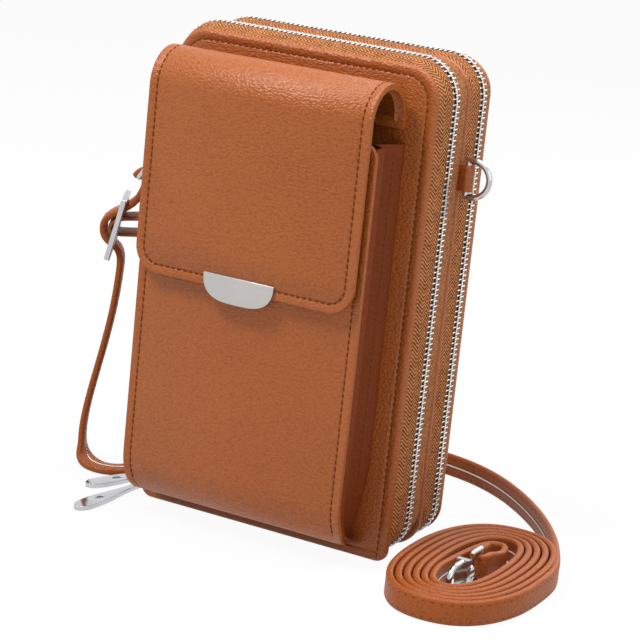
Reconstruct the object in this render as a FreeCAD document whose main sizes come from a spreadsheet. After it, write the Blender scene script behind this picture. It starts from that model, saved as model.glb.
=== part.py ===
import FreeCAD, Part, Sketcher
import math
import os
import re

V = FreeCAD.Vector
doc = FreeCAD.newDocument("phone_pouch")
sheet = doc.addObject("Spreadsheet::Sheet", "sizes")

# Driving sizes in millimetres, and angles in degrees; a text is worked out from other sizes
SIZES = {
    # Case panels and the divider between them
    "panel_width": 112.0,
    "panel_height": 190.0,
    "panel_thick": 2.2,
    "top_radius": 13.0,
    "bottom_radius": 5.0,
    "front_depth": 24.5,
    "back_depth": 22.5,
    "divider_thick": 1.2,
    "divider_overhang": 0.8,
    "lining_thick": 0.6,
    "lining_inset": 1.5,
    # Zips round the front and back cases
    "front_chain_depth": 11.0,
    "rear_chain_depth": 9.5,
    "tape_thick": 0.8,
    "tape_swell": 1.5,
    "row_width": 2.8,
    "row_thick": 2.4,
    "row_offset": 0.7,
    "row_start": 26.0,
    "chain_gap": 0.3,
    "foot_radius": 12.5,
    "foot_lift": 3.6,
    # Base strips and the folds they open on
    "base_thick": 1.6,
    "base_margin": 0.5,
    "fold_clear": 0.3,
    # Phone pocket on the front
    "pocket_width": 96.0,
    "pocket_shift": -2.0,
    "pocket_depth": 24.0,
    "pocket_drop": 27.0,
    "pocket_top": "=panel_height - pocket_drop",
    "pocket_thick": 2.0,
    "pocket_bend": 26.0,
    "pocket_corner": 12.0,
    "crease_depth": 16.5,
    "crease_height": 9.5,
    "crease_root": 3.0,
    "gusset_thick": 1.2,
    "gusset_fold": 5.0,
    "gusset_drop": 2.0,
    "gusset_inset": 1.2,
    "seam_clear": 0.2,
    "magnet_radius": 7.0,
    "magnet_thick": 1.2,
    "magnet_lift": 18.0,
    # Flap over the pocket mouth
    "flap_width": 94.0,
    "flap_shift": -2.6,
    "flap_thick": 2.4,
    "flap_bend": 14.0,
    "flap_drop": 19.5,
    "flap_pivot": "=panel_height - flap_drop",
    "flap_length": 71.0,
    "flap_bottom": "=flap_pivot - flap_length",
    "flap_corner": 10.0,
    "flap_root": 4.0,
    "plate_width": 30.5,
    "plate_height": 10.4,
    "plate_thick": 1.2,
    "plate_hang": 5.2,
    "plate_bottom": "=flap_bottom - plate_hang",
    "plate_shift": -3.0,
    # Zip sliders and pulls
    "slider_angle": 222.0,
    "slider_width": 8.4,
    "slider_length": 11.0,
    "slider_outer": 1.6,
    "slider_inner": 2.5,
    "slider_plate": 1.0,
    "slider_post": 1.8,
    "post_length": 2.2,
    "post_offset": 3.9,
    "bridge_radius": 3.9,
    "bridge_wire": 1.0,
    "eye_radius": 2.3,
    "eye_wire": 0.9,
    "eye_reach": 0.4,
    "knuckle_radius": 1.5,
    "pull_length": 46.0,
    "pull_thick": 1.8,
    "neck_width": 2.6,
    "neck_length": 14.0,
    "leaf_width": 8.6,
    "leaf_tip": 2.4,
    "leaf_hole": 1.5,
    "pull_rest": 1.25,
    "front_pull_turn": 265.0,
    "rear_pull_turn": 248.0,
    # D-rings and their tabs
    "ring_height": 148.0,
    "ring_wire": 2.3,
    "ring_bow": 6.9,
    "ring_leg": 2.2,
    "tab_reach": 3.4,
    "tab_height": 9.8,
    "tab_radius": 2.55,
    "tab_clear": 0.25,
    # Snap clasps
    "hook_bow": 4.8,
    "hook_wire": 2.4,
    "hook_bar": 5.5,
    "hook_base": 2.4,
    "hook_shoulder": 5.2,
    "barrel_radius": 2.6,
    "barrel_length": 4.0,
    "stem_radius": 1.0,
    "stem_clear": 0.3,
    "gate_clear": 0.35,
    "clasp_eye_wire": 2.2,
    "clasp_eye_half": 6.2,
    "clasp_eye_near": 19.0,
    "clasp_eye_far": 26.0,
    "clasp_slant": 233.8,
    "clasp_seat": 4.0,
    # Strap, its buckle and its coil
    "strap_width": 9.5,
    "strap_thick": 2.7,
    "strap_tail_thick": 1.6,
    "strap_turn": 2.65,
    "hanger_tail": 8.0,
    "end_tail": 12.0,
    "buckle_x": -92.65,
    "buckle_fall": 47.3,
    "buckle_height": "=ring_height - buckle_fall",
    "buckle_slant": 256.4,
    "buckle_width": 14.7,
    "buckle_thick": 2.4,
    "buckle_bar": 3.0,
    "buckle_slot": 9.5,
    "buckle_slot_width": 10.7,
    "buckle_rim": 2.4,
    "coil_x": 91.0,
    "coil_y": -19.5,
    "coil_half": 21.0,
    "coil_pitch": 3.3,
    "coil_core": 8.15,
    "coil_fold": 5.4,
    "coil_lead": 9.0,
    "coil_exit_radius": 60.0,
    "coil_exit_angle": 38.0,
}
COIL_TURNS = 6

for row, (alias, amount) in enumerate(SIZES.items(), start=1):
    cell = f"A{row}"
    sheet.set(cell, str(amount))
    sheet.setAlias(cell, alias)
doc.recompute()


def size(alias):
    return float(sheet.get(alias))


def sized(expression):
    # Words that are sizes become references to their cells
    def cell(word):
        return "sizes." + word[0] if word[0] in SIZES else word[0]
    return re.sub(r"[a-z_]+", cell, str(expression))


# Places that several pieces share
FACE = "-(front_depth + back_depth) / 2"
DIVIDER = f"({FACE} + front_depth)"
FRONT_CHAIN = f"({FACE} + front_chain_depth)"
REAR_CHAIN = f"({DIVIDER} + rear_chain_depth)"
BASE_HALF = "(panel_width / 2 - foot_radius - base_margin)"


def value(expression):
    # The number that an expression of sizes gives
    return float(sheet.evalExpression(sized(expression)))


face_y = value(FACE)
divider_y = value(DIVIDER)
front_chain_y = value(FRONT_CHAIN)
rear_chain_y = value(REAR_CHAIN)
half_width = size("panel_width") / 2
foot_x = half_width - size("foot_radius")
foot_z = size("foot_lift") + size("foot_radius")

ALONG_X = FreeCAD.Rotation(V(0, 0, 1), V(1, 0, 0))
ALONG_Y = FreeCAD.Rotation(V(0, 0, 1), V(0, 1, 0))
ALONG_Z = FreeCAD.Rotation()
NODES = []


def node(item, label):
    item.Label = label
    NODES.append(item)
    return item


def bind(item, **expressions):
    for prop, expression in expressions.items():
        item.setExpression(prop, sized(expression))


def put(item, at, turn=ALONG_Z):
    item.Placement = FreeCAD.Placement(V(), turn)
    for axis, expression in zip("xyz", at):
        item.setExpression(f"Placement.Base.{axis}", sized(expression))
    return item


def primitive(kind, name, at, turn=ALONG_Z, **expressions):
    item = doc.addObject(f"Part::{kind}", name)
    bind(item, **expressions)
    return put(item, at, turn)


def box(name, at, length, width, height):
    return primitive("Box", name, at, Length=length, Width=width, Height=height)


def rod(name, at, turn, radius, length):
    return primitive("Cylinder", name, at, turn, Radius=radius, Height=length)


def ball(name, at, radius):
    return primitive("Sphere", name, at, Radius=radius)


def half_ring(name, at, turn, radius, wire):
    # Half of a ring, from its own +X round +Y to its own -X
    ring = primitive("Torus", name, at, turn, Radius1=radius, Radius2=f"{wire} / 2")
    ring.Angle3 = 180
    return ring


def fuse(label, pieces):
    item = doc.addObject("Part::MultiFuse", label)
    item.Shapes = pieces
    return item


def cut(name, base, tool):
    item = doc.addObject("Part::Cut", name)
    item.Base = base
    item.Tool = tool
    return item


def shaped(label, shape):
    item = doc.addObject("Part::Feature", label)
    item.Shape = shape
    item.Placement = FreeCAD.Placement()
    return node(item, label)


def line(start, end):
    return Part.LineSegment(start, end).toShape()


def arc(start, through, end):
    return Part.Arc(start, through, end).toShape()


def filled(edges):
    return Part.Face(Part.Wire(edges))


def rounded(vector, places):
    return [round(part, places) for part in vector]


# Flat panels with rounded corners, drawn on the XZ plane and padded towards the back
def rounded_sketch(body, name, width, height, top_radius, bottom_radius):
    sketch = body.newObject("Sketcher::SketchObject", name)
    plane = next(item for item in body.Origin.OriginFeatures if item.Role == "XZ_Plane")
    sketch.AttachmentSupport = [(plane, "")]
    sketch.MapMode = "FlatFace"
    half = value(width) / 2
    tall = value(height)
    top = value(top_radius)
    low = value(bottom_radius)
    corners = [(half - low, low, low, -90), (half - top, tall - top, top, 0),
               (top - half, tall - top, top, 90), (low - half, low, low, 180)]
    arcs = []
    for x, z, radius, start in corners:
        circle = Part.Circle(V(x, z, 0), V(0, 0, 1), radius)
        arcs.append(Part.ArcOfCircle(circle, math.radians(start), math.radians(start + 90)))
    sketch.addGeometry(arcs, False)
    sides = [Part.LineSegment(arcs[i].EndPoint, arcs[(i + 1) % 4].StartPoint) for i in range(4)]
    sketch.addGeometry(sides, False)
    right, top_side, left, low_side = 4, 5, 6, 7
    for i in range(4):
        sketch.addConstraint(Sketcher.Constraint("Tangent", i, 2, 4 + i, 1))
        sketch.addConstraint(Sketcher.Constraint("Tangent", 4 + i, 2, (i + 1) % 4, 1))
    sketch.addConstraint(Sketcher.Constraint("Vertical", right))
    sketch.addConstraint(Sketcher.Constraint("Vertical", left))
    sketch.addConstraint(Sketcher.Constraint("Horizontal", top_side))
    sketch.addConstraint(Sketcher.Constraint("Symmetric", low_side, 1, low_side, 2, -2))
    sketch.addConstraint(Sketcher.Constraint("PointOnObject", low_side, 1, -1))
    sketch.addConstraint(Sketcher.Constraint("Equal", 0, 3))
    sketch.addConstraint(Sketcher.Constraint("Equal", 1, 2))
    named = [("low_radius", Sketcher.Constraint("Radius", 0, low), bottom_radius),
             ("high_radius", Sketcher.Constraint("Radius", 1, top), top_radius),
             ("width", Sketcher.Constraint("DistanceX", left, 1, right, 1, 2 * half), width),
             ("height", Sketcher.Constraint("DistanceY", low_side, 1, top_side, 1, tall), height)]
    for title, constraint, expression in named:
        index = sketch.addConstraint(constraint)
        sketch.renameConstraint(index, title)
        sketch.setExpression(f"Constraints.{title}", sized(expression))
    return sketch


def plate(label, at, width, height, thick, top_radius, bottom_radius, listed=True):
    body = doc.addObject("PartDesign::Body", label)
    sketch = rounded_sketch(body, f"{label}_outline", width, height, top_radius, bottom_radius)
    pad = body.newObject("PartDesign::Pad", f"{label}_pad")
    pad.Profile = sketch
    pad.Reversed = True
    bind(pad, Length=thick)
    put(body, at)
    return node(body, label) if listed else body


plate("front_panel", ("0", FACE, "0"), "panel_width", "panel_height", "panel_thick", "top_radius",
      "bottom_radius")
plate("back_panel", ("0", "(front_depth + back_depth) / 2 - panel_thick", "0"), "panel_width",
      "panel_height", "panel_thick", "top_radius", "bottom_radius")
plate("divider_panel", ("0", f"{DIVIDER} - divider_thick / 2", "0"), "panel_width + 2 * divider_overhang",
      "panel_height + divider_overhang", "divider_thick", "top_radius + divider_overhang", "bottom_radius")
for side, lining_y in (("front", f"{FACE} + panel_thick"),
                       ("back", "(front_depth + back_depth) / 2 - panel_thick - lining_thick")):
    plate(f"{side}_lining", ("0", lining_y, "foot_lift + lining_inset"), "panel_width - 2 * lining_inset",
          "panel_height - foot_lift - 2 * lining_inset", "lining_thick", "top_radius - lining_inset",
          "foot_radius - lining_inset")


# Base strips: each case's strip ends in a round fold on its hinge line
def folding_strip(label, start, fold, reach):
    strip = box(f"{label}_flat", (f"-{BASE_HALF}", start, "0"), f"2 * {BASE_HALF}", reach, "base_thick")
    roll = rod(f"{label}_roll", (f"-{BASE_HALF}", fold, "base_thick / 2"), ALONG_X, "base_thick / 2",
               f"2 * {BASE_HALF}")
    node(fuse(label, [strip, roll]), label)


FOLD = "(base_thick / 2 + fold_clear)"
folding_strip("front_base_strip", f"{FACE} + panel_thick", FRONT_CHAIN, "front_chain_depth - panel_thick")
folding_strip("back_base_strip", REAR_CHAIN, REAR_CHAIN, "back_depth - rear_chain_depth - panel_thick")
node(box("middle_front_base", (f"-{BASE_HALF}", f"{FRONT_CHAIN} + {FOLD}", "0"), f"2 * {BASE_HALF}",
         f"front_depth - front_chain_depth - {FOLD} - divider_thick / 2", "base_thick"), "middle_front_base")
node(box("middle_rear_base", (f"-{BASE_HALF}", f"{DIVIDER} + divider_thick / 2", "0"), f"2 * {BASE_HALF}",
         f"rear_chain_depth - {FOLD} - divider_thick / 2", "base_thick"), "middle_rear_base")


# Zips: each runs up one side, over the top and down the other, and curls in under the bottom corners
def zip_line(offset, y, left_end):
    # Edges along the zip, from the right foot to the left one or to a height on the left side
    reach = half_width + offset
    top = size("panel_height") + offset
    curl = size("foot_radius") + offset
    bend = size("top_radius") + offset
    bend_x = half_width - size("top_radius")
    bend_z = size("panel_height") - size("top_radius")
    middle = math.sqrt(1 / 2)
    edges = [arc(V(foot_x, y, foot_z - curl), V(foot_x + curl * middle, y, foot_z - curl * middle),
                 V(reach, y, foot_z)),
             line(V(reach, y, foot_z), V(reach, y, bend_z)),
             arc(V(reach, y, bend_z), V(bend_x + bend * middle, y, bend_z + bend * middle),
                 V(bend_x, y, top)),
             line(V(bend_x, y, top), V(-bend_x, y, top)),
             arc(V(-bend_x, y, top), V(-bend_x - bend * middle, y, bend_z + bend * middle),
                 V(-reach, y, bend_z))]
    if left_end is not None:
        return edges + [line(V(-reach, y, bend_z), V(-reach, y, left_end))]
    return edges + [line(V(-reach, y, bend_z), V(-reach, y, foot_z)),
                    arc(V(-reach, y, foot_z), V(-foot_x - curl * middle, y, foot_z - curl * middle),
                        V(-foot_x, y, foot_z - curl))]


def zip_band(inner, thick, y, left_end=None):
    # Closed outline of a band that follows the zip
    low = zip_line(inner, y, left_end)
    high = zip_line(inner + thick, y, left_end)
    first = line(low[0].Vertexes[0].Point, high[0].Vertexes[0].Point)
    last = line(low[-1].Vertexes[-1].Point, high[-1].Vertexes[-1].Point)
    return Part.Wire(Part.__sortEdges__([first] + high + [last] + low))


def zip_side(label, wall_y, wall_offset, chain_y, towards):
    # One tape from its wall to its row of teeth, and the row beside the chain's middle
    row_edge = chain_y - towards * size("chain_gap") / 2
    tape_edge = row_edge - towards * size("row_width")
    wires = [zip_band(wall_offset, size("tape_thick"), wall_y),
             zip_band(size("tape_swell"), size("tape_thick"), tape_edge)]
    shaped(f"{label}_tape", Part.makeLoft(wires, True, True))
    band = Part.Face(zip_band(size("row_offset"), size("row_thick"), tape_edge, size("row_start")))
    shaped(f"{label}_row", band.extrude(V(0, row_edge - tape_edge, 0)))


half_divider = size("divider_thick") / 2
panel_inside = face_y + size("panel_thick")
zip_side("front_zip_front", panel_inside, -size("tape_thick"), front_chain_y, 1)
zip_side("front_zip_rear", divider_y - half_divider, 0, front_chain_y, -1)
zip_side("rear_zip_front", divider_y + half_divider, 0, rear_chain_y, 1)
zip_side("rear_zip_rear", -panel_inside, -size("tape_thick"), rear_chain_y, -1)


# Phone pocket: a front that curves in at its foot, and two sides with a fold inwards
def pocket_curve(inset):
    # Edges of the pocket's side view, from the mouth to the panel
    run = size("pocket_depth") - size("crease_depth")
    drop = size("pocket_bend") - size("crease_height")
    radius = (drop ** 2 + run ** 2) / (2 * run)
    centre = V(0, face_y - size("pocket_depth") + radius, size("pocket_bend"))
    sweep = math.asin(drop / radius)
    points = []
    for share in (0, 1 / 2, 1):
        angle = sweep * share
        points.append(centre - V(0, math.cos(angle), math.sin(angle)) * (radius - inset))
    mouth = V(0, points[0].y, size("pocket_top"))
    root = V(0, face_y, size("crease_root") + inset)
    return [line(mouth, points[0]), arc(*points), line(points[-1], root)]


def pocket_prism(edges, closing):
    # Extrude a side view over the pocket's width
    ring = [edges[0].Vertexes[0].Point] + closing + [edges[-1].Vertexes[-1].Point]
    sides = [line(ring[i], ring[i + 1]) for i in range(len(ring) - 1)]
    face = Part.Face(Part.Wire(Part.__sortEdges__(edges + sides)))
    face.translate(V(size("pocket_shift") - size("pocket_width") / 2, 0, 0))
    return face.extrude(V(size("pocket_width"), 0, 0))


def pocket_outline():
    # A block with the pocket's rounded front view
    outline = plate("pocket_view", ("0", f"{FACE} - pocket_depth", "crease_root"),
                    "pocket_width", "pocket_top - crease_root", "pocket_depth", "pocket_corner / 2",
                    "pocket_corner", listed=False)
    doc.recompute()
    block = outline.Shape.copy()
    block.translate(V(size("pocket_shift"), 0, 0))
    return block


outer = pocket_curve(0)
inner = pocket_curve(size("pocket_thick"))
ends = [line(outer[0].Vertexes[0].Point, inner[0].Vertexes[0].Point),
        line(outer[-1].Vertexes[-1].Point, inner[-1].Vertexes[-1].Point)]
wall = Part.Face(Part.Wire(Part.__sortEdges__(outer + inner + ends)))
wall.translate(V(size("pocket_shift") - size("pocket_width") / 2, 0, 0))
pocket_view = pocket_outline()
shaped("pocket_front", wall.extrude(V(size("pocket_width"), 0, 0)).common(pocket_view))
pocket_space = pocket_prism(pocket_curve(size("pocket_thick") + size("seam_clear")),
                            [V(0, face_y, size("pocket_top"))])


def gusset(label, side):
    # A side that folds inwards half way between the pocket's front and the panel
    edge_x = size("pocket_shift") + side * (size("pocket_width") / 2 - size("gusset_inset"))
    fold_x = edge_x - side * size("gusset_fold")
    thick = V(-side * size("gusset_thick"), 0, 0)
    front = V(edge_x, face_y - size("pocket_depth"), size("crease_root"))
    fold = V(fold_x, face_y - size("pocket_depth") / 2, size("crease_root"))
    back = V(edge_x, face_y, size("crease_root"))
    ring = [front, fold, back, back + thick, fold + thick, front + thick, front]
    face = Part.Face(Part.makePolygon(ring))
    tall = size("pocket_top") - size("gusset_drop") - size("crease_root")
    shaped(label, face.extrude(V(0, 0, tall)).common(pocket_space).common(pocket_view))


gusset("pocket_gusset_left", -1)
gusset("pocket_gusset_right", 1)

MAGNET_HEIGHT = "flap_bottom + magnet_lift"
node(rod("pocket_magnet", ("flap_shift", f"{FACE} - pocket_depth + pocket_thick", MAGNET_HEIGHT), ALONG_Y,
         "magnet_radius", "magnet_thick"), "pocket_magnet")

# Flap: a strip sewn to the panel, a round bend over the mouth and a leaf with a half-round plate
LEAF_FRONT = f"({FACE} - 2 * flap_bend)"
FLAP_LEFT = "flap_shift - flap_width / 2"
node(box("flap_root", (FLAP_LEFT, f"{FACE} - flap_thick", "flap_pivot - flap_root"), "flap_width",
         "flap_thick", "flap_root"), "flap_root")
bend_at = (FLAP_LEFT, f"{FACE} - flap_bend", "flap_pivot")
bend_outer = rod("bend_outer", bend_at, ALONG_X, "flap_bend", "flap_width")
bend_inner = rod("bend_inner", bend_at, ALONG_X, "flap_bend - flap_thick", "flap_width")
bend_lower = box("bend_lower", (FLAP_LEFT, LEAF_FRONT, "flap_pivot - flap_bend"), "flap_width",
                 "2 * flap_bend", "flap_bend")
node(cut("flap_bridge", cut("bend_tube", bend_outer, bend_inner), bend_lower), "flap_bridge")
plate("flap_leaf", ("flap_shift", LEAF_FRONT, "flap_bottom"), "flap_width", "flap_pivot - flap_bottom",
      "flap_thick", "flap_thick / 2", "flap_corner")
PLATE_RADIUS = "(plate_width * plate_width / 4 + plate_height * plate_height) / (2 * plate_height)"
PLATE_FRONT = f"{LEAF_FRONT} - plate_thick"
plate_disc = rod("plate_disc", ("plate_shift", PLATE_FRONT, f"plate_bottom + {PLATE_RADIUS}"), ALONG_Y,
                 PLATE_RADIUS, "plate_thick")
plate_band = box("plate_band", ("plate_shift - plate_width / 2", PLATE_FRONT, "plate_bottom"), "plate_width",
                 "plate_thick", "plate_height")
flap_plate = doc.addObject("Part::Common", "flap_plate")
flap_plate.Base = plate_disc
flap_plate.Tool = plate_band
node(flap_plate, "flap_plate")
node(rod("flap_magnet", ("flap_shift", f"{LEAF_FRONT} + flap_thick", MAGNET_HEIGHT), ALONG_Y,
         "magnet_radius", "magnet_thick"), "flap_magnet")

# Side rings: a tab on the divider's edge holds the bar of each ring
RING_X = "(panel_width / 2 + divider_overhang + tab_reach)"


def ring_and_tab(side, sign):
    tab_x = f"{sign} * {RING_X}"
    low = "ring_height - tab_height / 2"
    neck_x = "panel_width / 2 + divider_overhang" if sign > 0 else f"-{RING_X}"
    neck = box(f"{side}_tab_neck", (neck_x, f"{DIVIDER} - divider_thick / 2", low), "tab_reach",
               "divider_thick", "tab_height")
    nose = rod(f"{side}_tab_nose", (tab_x, DIVIDER, low), ALONG_Z, "tab_radius", "tab_height")
    bore = rod(f"{side}_tab_bore", (tab_x, DIVIDER, f"{low} - tab_radius"), ALONG_Z,
               "ring_wire / 2 + tab_clear", "tab_height + 2 * tab_radius")
    node(cut(f"{side}_ring_tab", fuse(f"{side}_tab_body", [neck, nose]), bore), f"{side}_ring_tab")
    pieces = [rod(f"{side}_ring_bar", (tab_x, DIVIDER, "ring_height - ring_bow"), ALONG_Z, "ring_wire / 2",
                  "2 * ring_bow")]
    outward = FreeCAD.Rotation(V(0, 0, 1), V(sign, 0, 0))
    for name, height in (("low", "ring_height - ring_bow"), ("high", "ring_height + ring_bow")):
        pieces.append(ball(f"{side}_ring_{name}_corner", (tab_x, DIVIDER, height), "ring_wire / 2"))
        pieces.append(rod(f"{side}_ring_{name}_leg", (tab_x, DIVIDER, height), outward, "ring_wire / 2",
                          "ring_leg"))
    bow_turn = FreeCAD.Rotation(V(0, 0, 1), V(sign, 0, 0), V(0, sign, 0), "XYZ")
    pieces.append(half_ring(f"{side}_ring_bow", (f"{sign} * ({RING_X} + ring_leg)", DIVIDER, "ring_height"),
                            bow_turn, "ring_bow", "ring_wire"))
    node(fuse(f"{side}_ring", pieces), f"{side}_ring")


ring_and_tab("right", 1)
ring_and_tab("left", -1)


# Zip sliders sit on the curl at the left foot, with x outwards and z down the chain
slider_angle = math.radians(size("slider_angle"))
outward = V(math.cos(slider_angle), 0, math.sin(slider_angle))
chain_radius = size("foot_radius") + size("tape_swell") + size("tape_thick") / 2
slider_turn = FreeCAD.Rotation(outward, V(0, 1, 0), outward.cross(V(0, 1, 0)), "XYZ")
bridge_turn = FreeCAD.Rotation(V(0, 0, -1), V(1, 0, 0), V(0, -1, 0), "XYZ")
BRIDGE_ROOT = "(slider_outer + slider_plate - bridge_wire / 2)"
bridge_reach = value(f"{BRIDGE_ROOT} + bridge_radius")


def slider(label, chain_y):
    side = "-slider_width / 2"
    end = "-slider_length / 2"
    pieces = [box(f"{label}_outer", ("slider_outer", side, end), "slider_plate", "slider_width",
                  "slider_length"),
              box(f"{label}_inner", ("-slider_inner - slider_plate", side, end), "slider_plate",
                  "slider_width", "slider_length"),
              box(f"{label}_post", ("-slider_inner - slider_plate / 2", "-slider_post / 2",
                                    "post_offset - post_length / 2"),
                  "slider_inner + slider_outer + slider_plate", "slider_post", "post_length"),
              half_ring(f"{label}_bridge", (BRIDGE_ROOT, "0", "0"), bridge_turn, "bridge_radius",
                        "bridge_wire")]
    item = node(fuse(label, pieces), label)
    item.Placement = FreeCAD.Placement(V(-foot_x, chain_y, foot_z) + outward * chain_radius, slider_turn)


# Pulls: an eye round the slider's bridge, a knuckle and a long leaf with a hole, lying on the floor
def leaf_outline():
    start = size("eye_reach") + size("eye_radius") + size("knuckle_radius")
    neck = size("neck_width") / 2
    neck_end = size("neck_length")
    wide_share = 0.55
    wide_x = neck_end + (size("pull_length") - neck_end) * wide_share
    tip = size("leaf_tip") / 2
    edges = [line(V(start, -neck, 0), V(start, neck, 0)), line(V(start, neck, 0), V(neck_end, neck, 0))]
    half = size("leaf_width") / 2
    edges.append(arc(V(neck_end, neck, 0), V(wide_x, half, 0), V(size("pull_length") - tip, tip, 0)))
    edges.append(arc(V(size("pull_length") - tip, tip, 0), V(size("pull_length"), 0, 0),
                     V(size("pull_length") - tip, -tip, 0)))
    edges.append(arc(V(size("pull_length") - tip, -tip, 0), V(wide_x, -half, 0), V(neck_end, -neck, 0)))
    edges.append(line(V(neck_end, -neck, 0), V(start, -neck, 0)))
    return filled(edges), V(wide_x, 0, 0)


def pull(label, chain_y, turn):
    flat, hole_at = leaf_outline()
    sink = V(0, 0, -size("pull_thick") / 2)
    leaf = flat.extrude(V(0, 0, size("pull_thick")))
    leaf = leaf.cut(Part.makeCylinder(size("leaf_hole"), size("pull_thick"), hole_at))
    leaf.translate(sink)
    eye_x = size("eye_reach")
    knuckle_x = eye_x + size("eye_radius") + size("eye_wire") / 2 + size("knuckle_radius") / 2
    knuckle = Part.makeSphere(size("knuckle_radius"))
    knuckle.Placement = FreeCAD.Placement(V(knuckle_x, 0, 0), ALONG_X)
    bridge_top = V(-foot_x, chain_y, foot_z) + outward * (chain_radius + bridge_reach)
    heading = V(math.cos(math.radians(turn)), math.sin(math.radians(turn)), 0)
    dip = math.asin((bridge_top.z - size("pull_rest")) / size("pull_length"))
    along = heading * math.cos(dip) - V(0, 0, 1) * math.sin(dip)
    side = V(0, 0, 1).cross(heading)
    frame = FreeCAD.Rotation(along, side, along.cross(side), "XYZ")
    chain = frame.inverted().multVec(outward.cross(V(0, 1, 0)))
    across = V(0, chain.y, chain.z).normalize()
    eye = Part.makeTorus(size("eye_radius"), size("eye_wire") / 2)
    eye_turn = FreeCAD.Rotation(V(-1, 0, 0), across.cross(V(-1, 0, 0)), across, "XYZ")
    eye.Placement = FreeCAD.Placement(V(eye_x, 0, 0), eye_turn)
    item = doc.addObject("Part::Feature", label)
    item.Shape = leaf.fuse([knuckle, eye])
    item.Placement = FreeCAD.Placement(bridge_top, frame)
    node(item, label)
    print(f"{label} turns about", rounded(bridge_top, 2), "across", rounded(side, 4))


slider("front_slider", front_chain_y)
slider("rear_slider", rear_chain_y)
pull("front_pull", front_chain_y, size("front_pull_turn"))
pull("rear_pull", rear_chain_y, size("rear_pull_turn"))


# Snap clasps, drawn with x from the hook's bow to the eye and y across the hook
BASE_START = "(hook_bow + hook_bar)"
BASE_END = f"({BASE_START} + hook_base)"
BARREL_END = f"({BASE_END} + barrel_length)"


def clasp(side, placement):
    bow_turn = FreeCAD.Rotation(V(0, 1, 0), V(-1, 0, 0), V(0, 0, 1), "XYZ")
    bow = half_ring(f"{side}_bow", ("hook_bow", "0", "0"), bow_turn, "hook_bow", "hook_wire")
    bar = rod(f"{side}_bar", ("hook_bow", "hook_bow", "0"), ALONG_X, "hook_wire / 2",
              "hook_bar + hook_base / 2")
    base = box(f"{side}_base", (BASE_START, "-hook_bow - hook_wire / 2", "-hook_shoulder / 2"), "hook_base",
               "2 * hook_bow + hook_wire", "hook_shoulder")
    barrel = rod(f"{side}_barrel", (BASE_START, "0", "0"), ALONG_X, "barrel_radius",
                 "hook_base + barrel_length")
    bore = rod(f"{side}_bore", (BASE_END, "0", "0"), ALONG_X, "stem_radius + stem_clear",
               "2 * barrel_length")
    hook = node(cut(f"{side}_clasp_hook", fuse(f"{side}_hook_body", [bow, bar, base, barrel]), bore),
                f"{side}_clasp_hook")
    gate = node(rod(f"{side}_clasp_gate", ("0", "0", "0"), ALONG_X, "hook_wire / 2 - gate_clear / 2",
                    "hook_bar - 2 * gate_clear"), f"{side}_clasp_gate")
    gate_start = V(size("hook_bow") + size("gate_clear"), -size("hook_bow"), 0)
    half = "clasp_eye_half"
    wire = "clasp_eye_wire / 2"
    pieces = [rod(f"{side}_stem", (f"{BASE_END} + stem_clear", "0", "0"), ALONG_X, "stem_radius",
                  f"clasp_eye_near - {BASE_END} - stem_clear")]
    for name, place in (("near", "clasp_eye_near"), ("far", "clasp_eye_far")):
        pieces.append(rod(f"{side}_eye_{name}", (place, f"-{half}", "0"), ALONG_Y, wire, f"2 * {half}"))
    for name, place in (("low", f"-{half}"), ("high", half)):
        pieces.append(rod(f"{side}_eye_{name}", ("clasp_eye_near", place, "0"), ALONG_X, wire,
                          "clasp_eye_far - clasp_eye_near"))
        for end in ("near", "far"):
            pieces.append(ball(f"{side}_eye_{name}_{end}", (f"clasp_eye_{end}", place, "0"), wire))
    eye = node(fuse(f"{side}_clasp_eye", pieces), f"{side}_clasp_eye")
    hook.Placement = placement
    eye.Placement = placement
    gate.setExpression("Placement.Base.x", None)
    gate.setExpression("Placement.Base.y", None)
    gate.setExpression("Placement.Base.z", None)
    gate.Placement = placement.multiply(FreeCAD.Placement(gate_start, ALONG_X))
    pivot = placement.multVec(V(value(BASE_START) - size("gate_clear"), -size("hook_bow"), 0))
    print(f"{side} gate turns at", rounded(pivot, 2))


clasp_angle = math.radians(size("clasp_slant"))
hang = V(math.cos(clasp_angle), 0, math.sin(clasp_angle))
ring_centre = V(-value(f"{RING_X} + ring_leg"), divider_y, size("ring_height"))
left_bow = ring_centre + hang * (size("ring_bow") - size("clasp_seat") + size("hook_wire") / 2)
left_turn = FreeCAD.Rotation(hang, V(0, 1, 0), hang.cross(V(0, 1, 0)), "XYZ")
clasp("left", FreeCAD.Placement(left_bow, left_turn))
end_floor = value("clasp_eye_half + clasp_eye_wire / 2")
right_eye_y = value("coil_y + coil_half - coil_lead - end_tail / 2 - strap_turn / 2")
right_bow = V(size("coil_x"), right_eye_y - size("clasp_eye_far"), end_floor)
right_turn = FreeCAD.Rotation(V(0, 1, 0), V(0, 0, 1), V(1, 0, 0), "XYZ")
clasp("right", FreeCAD.Placement(right_bow, right_turn))


# Strap pieces follow straight runs joined by arcs that are as large as the runs allow
RADIUS_SHARE = 0.45


def rounded_path(points, title):
    edges = []
    start = points[0]
    radii = []
    for before, corner, after in zip(points, points[1:], points[2:]):
        back = before - corner
        ahead = after - corner
        half_turn = (math.pi - back.getAngle(ahead)) / 2
        reach = RADIUS_SHARE * min(back.Length, ahead.Length)
        radius = reach / math.tan(half_turn)
        radii.append(round(radius, 1))
        back.normalize()
        ahead.normalize()
        first = corner + back * reach
        last = corner + ahead * reach
        inward = (back + ahead).normalize()
        middle = corner + inward * (radius / math.cos(half_turn) - radius)
        edges.append(line(start, first))
        edges.append(arc(first, middle, last))
        start = last
    edges.append(line(start, points[-1]))
    path = Part.Wire(edges)
    print(f"{title} length {path.Length:.1f}, radii", radii)
    return path


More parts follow.
